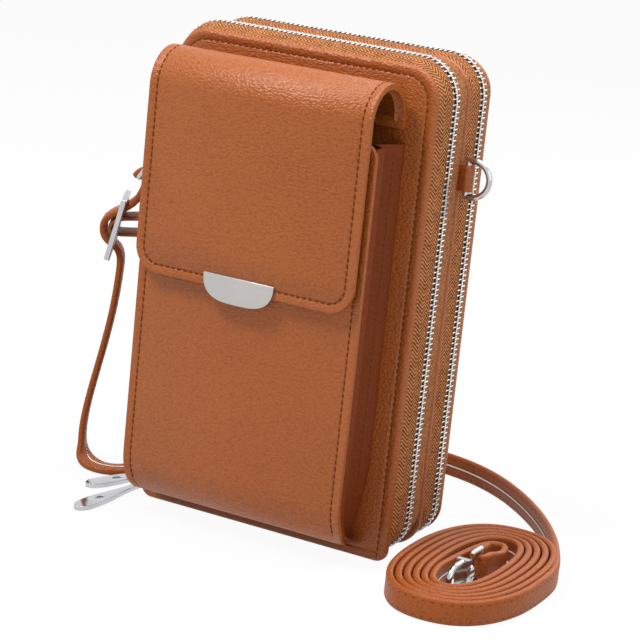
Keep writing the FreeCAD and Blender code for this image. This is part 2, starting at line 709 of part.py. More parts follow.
def swept(path, section):
    # A solid along the path, whose volume is compared with section times length
    solid = path.makePipeShell([section], True, False)
    share = solid.Volume / (Part.Face(section).Area * path.Length)
    print(f"volume share {share:.4f}")
    return solid


def band(path, across, thick):
    # A flat band whose width lies along the given direction
    start = path.Edges[0].Vertexes[0].Point
    ahead = (path.Edges[0].Vertexes[-1].Point - start).normalize()
    side = across * (size("strap_width") / 2)
    face = ahead.cross(across).normalize() * (thick / 2)
    corners = [start - side - face, start + side - face, start + side + face, start - side + face]
    return swept(path, Part.makePolygon(corners + corners[:1]))


# Strap hanger: from the left clasp's eye down through the buckle
buckle_angle = math.radians(size("buckle_slant"))
buckle_along = V(math.cos(buckle_angle), 0, math.sin(buckle_angle))
buckle_left = V(0, 1, 0).cross(buckle_along)
buckle_centre = V(size("buckle_x"), divider_y, size("buckle_height"))
left_eye = left_bow + hang * size("clasp_eye_far")
hang_side = V(0, 1, 0).cross(hang) * size("strap_turn")
hang_back = hang * size("strap_turn")



def by_buckle(places):
    # Places along the buckle and to its left, which grow with its slots
    scale = size("buckle_slot") / BULGE_SLOT
    return [buckle_centre + (buckle_along * along + buckle_left * out) * scale for along, out in places]


# Chosen by hand for a buckle with slots of this length
BULGE_SLOT = 9.5
BUCKLE_BULGE = [(-11.8, -4.8), (-2.9, 5.4), (2.5, 5.5), (6.6, 3.0), (9.2, -4.8)]
bulge = by_buckle(BUCKLE_BULGE)
# The strap's free run, chosen by hand: down to the floor, round behind the pouch and on to the coil
STRAP_ROUTE = [
    (-90.0, 1.0, 78.0), (-91.0, 0.5, 66.0), (-93.5, -0.5, 50.0), (-96.0, -3.0, 33.0), (-97.1, -4.6, 22.5),
    (-97.4, -5.6, 15.5), (-96.0, -6.7, 9.4), (-91.8, -8.9, 5.6), (-85.2, -10.4, 4.75), (-79.2, -8.6, 4.75),
    (-74.9, -4.0, 4.75), (-72.8, 2.6, 4.75), (-71.6, 11.6, 4.75), (-70.2, 22.8, 4.75), (-68.2, 37.0, 4.75),
    (-62.8, 54.0, 4.75), (-52.0, 70.5, 4.75), (-33.0, 85.5, 4.75), (-8.0, 96.0, 4.75), (16.0, 98.0, 4.75),
    (37.0, 92.0, 4.75), (57.0, 80.5, 4.75), (75.0, 64.5, 4.75), (88.0, 53.9, 4.75), (98.0, 44.1, 4.75),
    (106.3, 33.4, 4.75),
]
# The drop was chosen for a buckle at this height, and follows it down to the floor bend
ROUTE_BUCKLE = 100.7
DROP_END = 20.0
drop_scale = size("buckle_height") / ROUTE_BUCKLE
route = [V(x, y, z * drop_scale if z > DROP_END else z) for x, y, z in STRAP_ROUTE]
hanger_points = [left_eye + hang_side + hang * size("hanger_tail"), left_eye + hang_side - hang_back,
                 left_eye - hang_side - hang_back] + bulge + [route[0]]
shaped("strap_hanger", band(rounded_path(hanger_points, "hanger"), V(0, 1, 0), size("strap_thick")))

# Slide buckle with two slots, drawn with x down its length
BUCKLE_LENGTH = "(2 * buckle_slot + buckle_bar + 2 * buckle_rim)"
buckle_block = box("buckle_block", (f"-{BUCKLE_LENGTH} / 2", "-buckle_width / 2", "-buckle_thick / 2"),
                   BUCKLE_LENGTH, "buckle_width", "buckle_thick")
slots = [box(f"buckle_slot_{name}", (start, "-buckle_slot_width / 2", "-buckle_thick"), "buckle_slot",
             "buckle_slot_width", "2 * buckle_thick")
         for name, start in (("high", "-buckle_bar / 2 - buckle_slot"), ("low", "buckle_bar / 2"))]
buckle = node(cut("buckle", buckle_block, fuse("buckle_slots", slots)), "buckle")
buckle_turn = FreeCAD.Rotation(buckle_along, V(0, 1, 0), buckle_left * -1, "XYZ")
buckle.Placement = FreeCAD.Placement(buckle_centre, buckle_turn)

# Strap tail: a loop round the buckle's middle bar, chosen by hand as the hanger is
TAIL_LOOP = [(-7.2, -19.6), (-10.2, -17.6), (-6.9, -8.4), (-3.2, 2.6), (3.6, 2.6), (0.3, -8.6),
             (-2.6, -18.4), (-5.2, -19.8)]
tail_path = rounded_path(by_buckle(TAIL_LOOP), "tail")
shaped("strap_tail", band(tail_path, V(0, 1, 0), size("strap_tail_thick")))

# Free run of the strap, as a tube as wide as the strap
run_path = rounded_path(route, "run")
tube_ring = Part.Wire(Part.Circle(route[0], route[1] - route[0], size("strap_width") / 2).toShape())
shaped("strap_run", swept(run_path, tube_ring))

# Strap coil: half circles about two centres, which set each turn one pitch outside the last
coil_z = size("strap_width") / 2
coil_top = size("coil_y") + size("coil_half")
coil_low = size("coil_y") - size("coil_half")
shift = size("coil_pitch") / 2


def half_turn(centre_x, y, radius, rising):
    # Half a turn from right to left over the far end, or from left to right over the near end
    sign = 1 if rising else -1
    return arc(V(centre_x + sign * radius, y, coil_z), V(centre_x, y + sign * radius, coil_z),
               V(centre_x - sign * radius, y, coil_z))


def coil_path():
    left = size("coil_x") - size("coil_core")
    fold_x = left + size("coil_fold")
    edges = [line(V(fold_x + size("coil_fold"), coil_top - size("coil_lead"), coil_z),
                  V(fold_x + size("coil_fold"), coil_top, coil_z)),
             half_turn(fold_x, coil_top, size("coil_fold"), True)]
    near_x = size("coil_x") + shift
    for turn in range(COIL_TURNS):
        edges.append(line(V(left, coil_top, coil_z), V(left, coil_low, coil_z)))
        near_radius = near_x - left
        edges.append(half_turn(near_x, coil_low, near_radius, False))
        right = near_x + near_radius
        if turn < COIL_TURNS - 1:
            edges.append(line(V(right, coil_low, coil_z), V(right, coil_top, coil_z)))
            far_radius = right - size("coil_x")
            edges.append(half_turn(size("coil_x"), coil_top, far_radius, True))
            left = size("coil_x") - far_radius
    # The last turn leaves on a wide arc that meets the free run
    exit_radius = size("coil_exit_radius")
    exit_centre = right - exit_radius
    exit_angle = math.radians(size("coil_exit_angle"))
    exit_y = route[-1].y - exit_radius * math.sin(exit_angle)
    edges.append(line(V(right, coil_low, coil_z), V(right, exit_y, coil_z)))
    points = [V(exit_centre + exit_radius * math.cos(exit_angle * share),
                exit_y + exit_radius * math.sin(exit_angle * share), coil_z) for share in (0, 1 / 2, 1)]
    edges.append(arc(*points))
    return Part.Wire(edges)


coil = coil_path()
print(f"coil length {coil.Length:.1f}")
shaped("strap_coil", band(coil, V(0, 0, 1), size("strap_thick")))


def least_gap(path, step, apart):
    # The least distance between points of the band's line that lie well apart along it
    points = path.discretize(Distance=step)
    skip = round(apart / step)
    return min(points[i].distanceToPoint(points[j]) for i in range(len(points))
               for j in range(i + skip, len(points)))


coil_gap = least_gap(coil, size("strap_thick"), 2 * size("coil_half")) - size("strap_thick")
print(f"least gap between coil turns {coil_gap:.2f}")

# Strap end: folded round the right clasp's eye, inside the coil
lead_x = size("coil_x") - size("coil_core") + 2 * size("coil_fold")
turn = size("strap_turn")
end_points = [V(lead_x, coil_top - size("coil_lead"), end_floor),
              V(lead_x, right_eye_y - turn, end_floor),
              V(lead_x - 2 * turn, right_eye_y - turn, end_floor),
              V(lead_x - 2 * turn, right_eye_y + size("end_tail"), end_floor)]
shaped("strap_end", band(rounded_path(end_points, "end"), V(0, 0, 1), size("strap_thick")))


# Every object has to be sound before anything is written
doc.recompute()
for item in doc.Objects:
    if {"Invalid", "Error"} & set(item.State):
        raise RuntimeError(f"{item.Name} failed: {item.State}")
for item in NODES:
    if item.Shape.isNull() or not item.Shape.isValid():
        raise RuntimeError(f"{item.Label} has no sound shape")

os.makedirs("parts", exist_ok=True)
for item in NODES:
    item.Shape.exportStep(f"parts/{item.Label}.step")
    print(item.Label, round(item.Shape.Volume, 1))
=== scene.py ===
import math

import bmesh
import bpy
from mathutils import Matrix, Vector

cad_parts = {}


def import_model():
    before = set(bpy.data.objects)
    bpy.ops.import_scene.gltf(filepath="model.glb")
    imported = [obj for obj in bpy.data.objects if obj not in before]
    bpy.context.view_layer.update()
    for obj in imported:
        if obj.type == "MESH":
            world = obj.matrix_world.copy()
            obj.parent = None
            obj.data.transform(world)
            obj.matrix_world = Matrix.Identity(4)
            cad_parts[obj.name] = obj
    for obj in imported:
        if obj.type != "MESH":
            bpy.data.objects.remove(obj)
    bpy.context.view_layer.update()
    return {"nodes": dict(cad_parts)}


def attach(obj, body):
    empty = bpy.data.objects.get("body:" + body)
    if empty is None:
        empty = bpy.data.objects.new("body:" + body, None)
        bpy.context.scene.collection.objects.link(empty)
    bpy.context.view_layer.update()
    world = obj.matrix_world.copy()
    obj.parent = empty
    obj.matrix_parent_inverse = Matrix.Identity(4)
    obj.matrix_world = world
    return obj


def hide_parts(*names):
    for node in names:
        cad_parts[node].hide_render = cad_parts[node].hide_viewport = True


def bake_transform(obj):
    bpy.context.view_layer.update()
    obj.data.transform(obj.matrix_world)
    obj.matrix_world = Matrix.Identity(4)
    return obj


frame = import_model()
scene = bpy.context.scene

# Meshes are drawn in millimetres and brought to metres when a piece is finished
MM = 0.001
Y_AXIS = Vector((0, 1, 0))
Z_AXIS = Vector((0, 0, 1))


# Shader sums written as plain expressions
class Shade:
    def __init__(self, finish, socket):
        self.finish = finish
        self.socket = socket

    def sum(self, operation, first, second=0.0):
        return self.finish.add("ShaderNodeMath", {"operation": operation}, {0: first, 1: second})

    def __add__(self, other):
        return self.sum("ADD", self, other)

    def __radd__(self, other):
        return self.sum("ADD", other, self)

    def __sub__(self, other):
        return self.sum("SUBTRACT", self, other)

    def __rsub__(self, other):
        return self.sum("SUBTRACT", other, self)

    def __mul__(self, other):
        return self.sum("MULTIPLY", self, other)

    def sine(self):
        return self.sum("SINE", self)

    def zigzag(self, width):
        return self.sum("PINGPONG", self, width)

    def clipped(self, low, high):
        return self.finish.add("ShaderNodeClamp", {}, {"Value": self, "Min": low, "Max": high})


class Finish:
    def __init__(self, name):
        self.material = bpy.data.materials.new(name)
        self.material.use_nodes = True
        self.nodes = self.material.node_tree.nodes
        self.links = self.material.node_tree.links
        self.nodes.clear()
        self.place = self.add("ShaderNodeTexCoord", output="Object")

    def add(self, kind, settings=None, inputs=None, output=0):
        item = self.nodes.new(kind)
        for key, value in (settings or {}).items():
            setattr(item, key, value)
        for key, value in (inputs or {}).items():
            if isinstance(value, Shade):
                self.links.new(value.socket, item.inputs[key])
            else:
                item.inputs[key].default_value = value
        return Shade(self, item.outputs[output]) if item.outputs else None

    def noise(self, scale, detail=2.0, vector=None):
        return self.add("ShaderNodeTexNoise", {}, {"Vector": vector or self.place, "Scale": scale, "Detail": detail})

    def cells(self, scale, vector=None):
        return self.add("ShaderNodeTexVoronoi", {"feature": "SMOOTH_F1"},
                        {"Vector": vector or self.place, "Scale": scale, "Smoothness": 0.6})

    def stretched(self, scale):
        return self.add("ShaderNodeMapping", {}, {"Vector": self.place, "Scale": scale})

    def attribute(self, name):
        return self.add("ShaderNodeAttribute", {"attribute_name": name}, output="Fac")

    def axis(self, letter):
        return self.add("ShaderNodeSeparateXYZ", {}, {0: self.place}, letter)

    def mixed(self, share, first, second):
        return self.add("ShaderNodeMix", {"data_type": "RGBA"}, {0: share, 6: first, 7: second}, 2)

    def surface(self, colour, roughness, height=None, depth=0.0, **constants):
        inputs = {"Base Color": colour, "Roughness": roughness}
        if height is not None:
            inputs["Normal"] = self.add("ShaderNodeBump", {}, {"Height": height, "Distance": depth})
        for key, value in constants.items():
            inputs[key.replace("_", " ").title().replace("Ior", "IOR")] = value
        shader = self.add("ShaderNodeBsdfPrincipled", {}, inputs)
        self.add("ShaderNodeOutputMaterial", {}, {"Surface": shader})
        return self.material


def tone(red, green, blue):
    # A screen colour as the linear colour that a shader takes
    def linear(part):
        part = part / 255
        return part / 12.92 if part <= 0.04045 else ((part + 0.055) / 1.055) ** 2.4
    return (linear(red), linear(green), linear(blue), 1.0)


def leather(name, light, dark, pebble, depth, gloss, shine=0.34):
    # Fine pebbled grain with creases and uneven dye; painted shade darkens the grain's valleys
    finish = Finish(name)
    drawn = finish.stretched((0.7, 1.0, 1.1))
    grain = finish.cells(pebble, drawn)
    creases = finish.noise(pebble * 0.6, 2.0, drawn)
    cloud = finish.noise(22.0, 3.0)
    height = creases * 0.5 - grain
    # Colour: random uneven dye, plus painted shade that darkens the grain's valleys
    dye_and_valley_shade = (grain * 0.72 + cloud * 0.3 - 0.17).clipped(0.0, 1.0)
    colour = finish.mixed(dye_and_valley_shade, light, dark)
    roughness = gloss + grain * 0.12 + cloud * 0.06
    return finish.surface(colour, roughness, height, depth, specular_ior_level=shine)


def woven_tape(name, light, dark):
    # Herringbone ribs that change direction across the tape; the colour follows the ribs, with painted highlight on
    # their crests and painted shade in their grooves
    finish = Finish(name)
    run = finish.attribute("run")
    across = finish.axis("Y") * 1000.0
    slant = run + across.zigzag(2.1) * 1.2
    ribs = (slant * (2 * math.pi / 1.5)).sine()
    threads = (run * (2 * math.pi / 0.42)).sine() * 0.25 + finish.noise(1500.0, 2.0) * 0.5
    height = ribs * 0.5 + threads
    # Rib crests take the light tone as painted highlight, grooves the dark tone as painted shade, with random tone on
    # top
    share = (0.45 - ribs * 0.42 + (finish.noise(400.0) - 0.5) * 0.7).clipped(0.0, 1.0)
    return finish.surface(finish.mixed(share, light, dark), 0.72 + ribs * 0.06, height, 0.00045,
                          specular_ior_level=0.12)


def metal(name, light, dark, rough, brushed=0.0):
    # Plated metal with faint cloudy wear, and fine brushing where asked
    finish = Finish(name)
    cloud = finish.noise(90.0, 3.0)
    strokes = finish.noise(300.0, 2.0, finish.stretched((0.04, 1.0, 6.0)))
    colour = finish.mixed((cloud * 0.6 + strokes * brushed).clipped(0.0, 1.0), light, dark)
    roughness = rough + cloud * 0.06 + strokes * brushed * 0.2
    height = strokes * brushed + finish.noise(2500.0, 1.0) * 0.05
    return finish.surface(colour, roughness, height, 0.00004, metallic=1.0)


def lining(name, light, dark):
    # Plain weave with slubs
    finish = Finish(name)
    over = (finish.axis("X") * (1000 * 2 * math.pi / 0.7)).sine()
    under = (finish.axis("Z") * (1000 * 2 * math.pi / 0.7)).sine()
    weave = over * under
    share = (0.5 + weave * 0.25 + (finish.noise(160.0) - 0.5) * 0.8).clipped(0.0, 1.0)
    return finish.surface(finish.mixed(share, light, dark), 0.8 + weave * 0.05, weave, 0.0001)


def thread(name, light, dark):
    # Twisted sewing thread
    finish = Finish(name)
    twist = finish.noise(2600.0, 2.0)
    return finish.surface(finish.mixed(twist, light, dark), 0.6 + twist * 0.2, twist, 0.0001, specular_ior_level=0.1)


# Each leather's dark tone is partly its dye and partly painted shade in the grain's valleys
CASE = leather("case_leather", tone(172, 92, 33), tone(124, 58, 15), 1250.0, 0.00027, 0.32, 0.42)
# Gusset leather: a darker copy of the case leather, painted shade for the pocket's recessed sides
SHADED_GUSSET = leather("gusset_leather", tone(130, 60, 22), tone(92, 40, 13), 1450.0, 0.0002, 0.46, 0.14)
STRAP = leather("strap_leather", tone(164, 86, 34), tone(120, 56, 18), 1500.0, 0.0002, 0.34, 0.2)
# The tape's wide tone range holds painted highlight and painted shade on the ribs
TAPE = woven_tape("zip_tape", tone(236, 156, 98), tone(74, 30, 10))
CLOTH = lining("lining_cloth", tone(176, 138, 104), tone(140, 102, 72))
TEETH = metal("zip_teeth", tone(204, 203, 200), tone(150, 149, 147), 0.2)
POLISHED = metal("polished_metal", tone(206, 206, 209), tone(164, 165, 169), 0.1)
SATIN = metal("satin_plate", tone(205, 202, 199), tone(184, 181, 178), 0.32, 0.5)
STEEL = metal("magnet_steel", tone(170, 170, 172), tone(140, 140, 143), 0.3, 0.3)
THREAD = thread("sewing_thread", tone(132, 66, 27), tone(92, 42, 14))
FILLER = thread("strap_filler", tone(252, 248, 242), tone(232, 224, 214))


# Helpers that draw and finish pieces
def finished(name, bm, body, material, nodes=(), sharp=38.0, blended=None):
    mesh = bpy.data.meshes.new(name)
    bm.to_mesh(mesh)
    bm.free()
    mesh.transform(Matrix.Scale(MM, 4))
    mesh.materials.append(material)
    mesh.shade_smooth()
    mesh.set_sharp_from_angle(angle=math.radians(sharp))
    piece = bpy.data.objects.new(name, mesh)
    scene.collection.objects.link(piece)
    if blended:
        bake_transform(piece)
    else:
        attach(piece, body)
    if nodes:
        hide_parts(*nodes)
    return piece


def vertices(items):
    return [item for item in items if isinstance(item, bmesh.types.BMVert)]


def edges_of(items):
    return [item for item in items if isinstance(item, bmesh.types.BMEdge)]


def outward(bm):
    bmesh.ops.recalc_face_normals(bm, faces=bm.faces)


def raised(bm, faces, way):
    # A solid from some faces, reaching along a direction
    made = bmesh.ops.extrude_face_region(bm, geom=faces)
    bmesh.ops.translate(bm, vec=way, verts=vertices(made["geom"]))
    outward(bm)


def turned_to(x, y, z):
    # A matrix that turns the axes to three directions
    return Matrix((x, y, z)).transposed().to_4x4()


def bevelled(bm, edges, offset, segments=3):
    bmesh.ops.bevel(bm, geom=edges, offset=offset, offset_type="OFFSET", affect="EDGES", segments=segments,
                    profile=0.5, material=-1, clamp_overlap=True)


def rounded_face(bm, box, low_radius, top_radius, y, segments=10):
    # One face on a front view, with its corners rounded
    x0, x1, z0, z1 = box
    corners = [bm.verts.new((x, y, z)) for x, z in ((x0, z0), (x1, z0), (x1, z1), (x0, z1))]
    bm.faces.new(corners)
    for pair, radius in ((corners[:2], low_radius), (corners[2:], top_radius)):
        bmesh.ops.bevel(bm, geom=pair, offset=radius, offset_type="OFFSET", affect="VERTICES", segments=segments,
                        profile=0.5, material=-1)
    return bm.faces[:][0]


def front_face(bm):
    return max((face for face in bm.faces if face.normal.y < -0.9), key=lambda face: face.calc_area())


def grooved(bm, faces, inset, width=0.9, depth=0.3):
    # A stitch groove that follows the edge of some faces
    for step, sink in ((inset - width / 2, 0.0), (width / 2, -depth), (width / 2, depth)):
        bmesh.ops.inset_region(bm, faces=faces, thickness=step, depth=sink, use_boundary=True, use_even_offset=True)


def outline(box, low_radius, top_radius, y):
    # The points round a rounded face
    bm = bmesh.new()
    points = [corner.co.copy() for corner in rounded_face(bm, box, low_radius, top_radius, y).verts]
    bm.free()
    return points


def walk(points, pitch, closed=False):
    # Even steps along a line of points, as places and directions
    line = points + points[:1] if closed else points
    lengths = [(b - a).length for a, b in zip(line, line[1:])]
    count = max(1, round(sum(lengths) / pitch))
    pace = sum(lengths) / count
    reach = pace / 2
    steps = []
    for a, b, length in zip(line, line[1:], lengths):
        while reach <= length:
            steps.append((a.lerp(b, reach / length), (b - a).normalized()))
            reach += pace
        reach -= length
    return steps


def part_of(value):
    # A value held between 0 and 1
    return min(max(value, 0.0), 1.0)


def lofted(bm, rows):
    # Closed skin over rows of points that go round the same way
    rows = [[bm.verts.new(place) for place in row] for row in rows]
    for row, after in zip(rows, rows[1:]):
        for i in range(len(row)):
            bm.faces.new((row[i - 1], row[i], after[i], after[i - 1]))
    bm.faces.new(rows[0])
    bm.faces.new(rows[-1])
    outward(bm)


def frame_matrix(place, along, out):
    # A matrix with x along a line and z away from the surface
    side = out.cross(along).normalized()
    return Matrix.Translation(place) @ turned_to(along, side, along.cross(side))


def template(build):
    # A small mesh that is copied many times
    bm = bmesh.new()
    build(bm)
    mesh = bpy.data.meshes.new("template")
    bm.to_mesh(mesh)
    bm.free()
    return mesh


def scattered(bm, mesh, matrix):
    # Add a template's copy
    copy = mesh.copy()
    copy.transform(matrix)
    bm.from_mesh(copy)
    bpy.data.meshes.remove(copy)


STITCH_PITCH = 2.6
STITCH_LENGTH = 1.9
STITCH_WIDTH = 0.68


def stitch_shape(bm):
    bmesh.ops.create_uvsphere(bm, u_segments=6, v_segments=5, radius=0.5)
    bmesh.ops.rotate(bm, verts=bm.verts, matrix=Matrix.Rotation(math.pi / 2, 3, "Y"))
    bmesh.ops.scale(bm, vec=(STITCH_LENGTH, STITCH_WIDTH, STITCH_WIDTH * 0.8), verts=bm.verts)


STITCH = template(stitch_shape)
SLANT = Matrix.Rotation(math.radians(7), 4, "Z")


def stitched(name, rows, body, closed=False, blended=None):
    # Rows of stitches: each is a line of points and the way out of its surface
    bm = bmesh.new()
    for points, out in rows:
        for place, along in walk(points, STITCH_PITCH, closed):
            facing = out(place) if callable(out) else out
            scattered(bm, STITCH, frame_matrix(place, along, facing) @ SLANT)
    finished(name, bm, body, THREAD, sharp=80.0, blended=blended)


# Case panels: leather over board, with a rolled rim, a stitch groove and a padded middle
PANEL = (-56.0, 56.0, 0.0, 190.0)
FACE_Y = -23.5
PANEL_THICK = 2.2
PANEL_RIM = 1.6
PANEL_PAD = 0.12
PAD_INSET = 0.6
PANEL_TOP_RADIUS = 13.0
FRONT_LOW_RADIUS = 5.0
LOW_RADIUS = 12.5
PANEL_HALFWAY = 100.0
STITCH_INSET = 3.8
STITCH_SINK = 0.15
STITCH_FOOT = 1.5
STITCH_LOW_RADIUS = 1.2
LINING_BOX = (-54.5, 54.5, 5.1, 188.5)
LINING_RADII = (11.0, 11.5)
LINING_THICK = 0.6
LINING_RIM = 0.2
SHELL_Y = 21.3
DIVIDER = (-57.4, 57.4, 0.0, 191.4)
DIVIDER_TOP_RADIUS = 14.4
DIVIDER_THICK = 2.0
DIVIDER_RIM = 0.85


def grown(box, by):
    return (box[0] - by, box[1] + by, box[2] - by, box[3] + by)


def panel_solid(box, low_radius, top_radius, y, thick, rim, groove=None, pad=0.0):
    bm = bmesh.new()
    raised(bm, [rounded_face(bm, box, low_radius, top_radius, y)], (0, thick, 0))
    bevelled(bm, list(front_face(bm).edges), rim, 4)
    if groove:
        grooved(bm, [front_face(bm)], groove - rim)
        bmesh.ops.inset_region(bm, faces=[front_face(bm)], thickness=PAD_INSET, depth=pad, use_even_offset=True)
    return bm


def mirrored(bm):
    # The same shape facing the other way
    bmesh.ops.scale(bm, vec=(1, -1, 1), verts=bm.verts)
    outward(bm)
    return bm


def open_below(path):
    # The same row without its lower run, down to the panel's foot on both sides
    while path[0].z > PANEL_HALFWAY:
        path = path[1:] + path[:1]
    upper = [place for place in path if place.z > PANEL_HALFWAY]
    feet = [Vector((end.x, end.y, STITCH_FOOT)) for end in (upper[0], upper[-1])]
    return feet[:1] + upper + feet[1:]


def case_panel(side, body, facing, low_radius):
    bm = panel_solid(PANEL, low_radius, PANEL_TOP_RADIUS, FACE_Y, PANEL_THICK, PANEL_RIM, STITCH_INSET, PANEL_PAD)
    finished(f"{side}_panel_leather", bm if facing < 0 else mirrored(bm), body, CASE,
             [f"{side}_panel"])
    path = outline(grown(PANEL, -STITCH_INSET), max(low_radius - STITCH_INSET, STITCH_LOW_RADIUS),
                   PANEL_TOP_RADIUS - STITCH_INSET, facing * (-FACE_Y - STITCH_SINK))
    if facing < 0:
        path = open_below(path)
    stitched(f"{side}_panel_stitches", [(path, Vector((0, facing, 0)))], body, closed=facing > 0)
    bm = panel_solid(LINING_BOX, *LINING_RADII, -SHELL_Y, LINING_THICK, LINING_RIM)
    finished(f"{side}_lining_cloth", bm if facing < 0 else mirrored(bm), body, CLOTH,
             [f"{side}_lining"])


case_panel("front", "front_case", -1, FRONT_LOW_RADIUS)
case_panel("back", "back_case", 1, LOW_RADIUS)
divider = panel_solid(DIVIDER, LOW_RADIUS, DIVIDER_TOP_RADIUS, 0.0, DIVIDER_THICK, DIVIDER_RIM)
finished("divider_leather", divider, "middle", CASE, ["divider_panel"])


# Base strips with rounded long edges
BASE_WIDTH = 86.0
BASE_THICK = 1.6
BASE_ROUND = 0.75


def base_strip(name, body, y0, y1, node):
    bm = bmesh.new()
    bmesh.ops.create_cube(bm, size=1.0)
    bmesh.ops.scale(bm, vec=(BASE_WIDTH, y1 - y0, BASE_THICK), verts=bm.verts)
    bmesh.ops.translate(bm, vec=(0, (y0 + y1) / 2, BASE_THICK / 2), verts=bm.verts)
    bevelled(bm, [edge for edge in bm.edges if edge.calc_length() > BASE_WIDTH / 2], BASE_ROUND, 4)
    finished(name, bm, body, CASE, [node])


base_strip("front_base_leather", "front_case", -SHELL_Y, -11.75, "front_base_strip")
base_strip("middle_front_base_leather", "middle", -11.4, 0.4, "middle_front_base")
base_strip("middle_rear_base_leather", "middle", 1.6, 9.4, "middle_rear_base")
base_strip("back_base_leather", "back_case", 9.75, SHELL_Y, "back_base_strip")


# Zips: a line up the right side, over the top and down the left side, curling in under both feet
FOOT_X = 43.5
FOOT_Z = 16.1
FOOT_RADIUS = 12.5
BEND_X = 43.0
BEND_Z = 177.0
BEND_RADIUS = 13.0
ROW_START = 26.0
FOOT_STEPS = 12
BEND_STEPS = 14
ZIP_MIDDLE = Vector((0, 0, 95.0))
QUARTER = math.pi / 2
FOOT_RUN = FOOT_RADIUS * QUARTER
SIDE_RUN = BEND_Z - FOOT_Z
BEND_RUN = BEND_RADIUS * QUARTER
TOP_RUN = 2 * BEND_X


def zip_run(x, z):
    # Distance along the zip of a place near it
    half = FOOT_RUN + SIDE_RUN + BEND_RUN + TOP_RUN / 2
    if z < FOOT_Z:
        angle = math.atan2(FOOT_Z - z, max(abs(x) - FOOT_X, 0.0))
        back = half - FOOT_RUN + FOOT_RADIUS * angle
    elif z < BEND_Z:
        back = BEND_RUN + TOP_RUN / 2 + BEND_Z - z
    elif abs(x) > BEND_X:
        angle = math.atan2(abs(x) - BEND_X, z - BEND_Z)
        back = TOP_RUN / 2 + BEND_RADIUS * angle
    else:
        back = abs(x)
    return half - back if x > 0 else half + back


def along_zip(bm, ring):
    # Sweep a ring of edges, drawn under the right foot, along the whole zip
    def spun(edges, x, z, steps):
        made = bmesh.ops.spin(bm, geom=edges, cent=(x, 0, z), axis=(0, -1, 0), angle=QUARTER, steps=steps,
                              use_duplicate=False)
        return edges_of(made["geom_last"])

    def drawn(edges, way):
        made = bmesh.ops.extrude_edge_only(bm, edges=edges)
        bmesh.ops.translate(bm, vec=way, verts=vertices(made["geom"]))
        moved = set(vertices(made["geom"]))
        return [edge for edge in edges_of(made["geom"]) if set(edge.verts) <= moved]

    first = ring
    ring = spun(ring, FOOT_X, FOOT_Z, 10)
    ring = drawn(ring, (0, 0, SIDE_RUN))
    ring = spun(ring, BEND_X, BEND_Z, 12)
    ring = drawn(ring, (-TOP_RUN, 0, 0))
    ring = spun(ring, -BEND_X, BEND_Z, 12)
    ring = drawn(ring, (0, 0, -SIDE_RUN))
    ring = spun(ring, -FOOT_X, FOOT_Z, 10)
    bmesh.ops.holes_fill(bm, edges=first, sides=0)
    bmesh.ops.holes_fill(bm, edges=ring, sides=0)
    outward(bm)


def ring_of_points(bm, points):
    # A closed ring of edges from a few points across the zip, as y and offset
    made = [bm.verts.new((FOOT_X, y, FOOT_Z - FOOT_RADIUS - offset)) for y, offset in points]
    return [bm.edges.new((a, b)) for a, b in zip(made, made[1:] + made[:1])]


def with_run(piece):
    # Keep each point's distance along the zip for the weave
    layer = piece.data.attributes.new("run", "FLOAT", "POINT")
    layer.data.foreach_set("value", [zip_run(v.co.x / MM, v.co.z / MM) for v in piece.data.vertices])


ROW_WIDTH = 2.8
CHAIN_HALF = 0.15
TOOTH_PITCH = 2.1
TOOTH_OFFSET = 1.9
TOOTH_BEVEL = 0.16
TAPE_THICK = 0.8
TAPE_EDGE = 1.5
TAPE_RISE = 1.05
TAPE_LIP = 0.9
FRONT_CHAIN_Y = -12.5
REAR_CHAIN_Y = 10.5


def tooth_shape(bm):
    # A thin bar that ends in a head on the chain's middle
    for length, width, height, middle in ((0.62, 2.6, 1.9, -1.5), (1.0, 1.1, 2.3, 0.15)):
        size = Matrix.Diagonal((length, width, height, 1.0))
        bmesh.ops.create_cube(bm, size=1.0, matrix=Matrix.Translation((0, middle, 0)) @ size)
    bevelled(bm, list(bm.edges), TOOTH_BEVEL, 1)


TOOTH = template(tooth_shape)


def zip_points(offset, y):
    # The zip's line from the right foot to where the rows end on the left
    path = []
    for step in range(FOOT_STEPS + 1):
        angle = -QUARTER + QUARTER * step / FOOT_STEPS
        reach = FOOT_RADIUS + offset
        path.append(Vector((FOOT_X + reach * math.cos(angle), y, FOOT_Z + reach * math.sin(angle))))
    for side, start in ((1, 0.0), (-1, QUARTER)):
        for step in range(BEND_STEPS + 1):
            angle = start + QUARTER * step / BEND_STEPS
            reach = BEND_RADIUS + offset
            path.append(Vector((side * BEND_X + reach * math.cos(angle), y, BEND_Z + reach * math.sin(angle))))
    path.append(Vector((-BEND_X - BEND_RADIUS - offset, y, ROW_START)))
    return path


def zip_half(name, body, wall_y, wall_offset, chain_y, towards, late):
    # One woven tape with its row of teeth; the rows mesh half a pitch apart
    edge_y = chain_y - towards * (CHAIN_HALF + ROW_WIDTH)
    lip_y = chain_y - towards * (CHAIN_HALF + TAPE_LIP)
    middle_y = (wall_y + edge_y) / 2
    middle_offset = wall_offset * 0.3 + TAPE_RISE
    under = [(wall_y, wall_offset), (middle_y, middle_offset), (edge_y, TAPE_EDGE), (lip_y, TAPE_EDGE)]
    over = [(y, offset + TAPE_THICK) for y, offset in under]
    bm = bmesh.new()
    along_zip(bm, ring_of_points(bm, under[:1] + over + under[:0:-1]))
    with_run(finished(f"{name}_cloth", bm, body, TAPE, [f"{name}_tape"], sharp=50.0))
    bm = bmesh.new()
    path = zip_points(TOOTH_OFFSET, chain_y - towards * CHAIN_HALF)
    for place, along in walk(path, TOOTH_PITCH / 2)[late::2]:
        out = Y_AXIS.cross(along).normalized()
        if out.dot(place - ZIP_MIDDLE) < 0:
            out = -out
        scattered(bm, TOOTH, Matrix.Translation(place) @ turned_to(along, Y_AXIS * towards, out))
    outward(bm)
    finished(f"{name}_teeth", bm, body, TEETH, [f"{name}_row"], sharp=25.0)


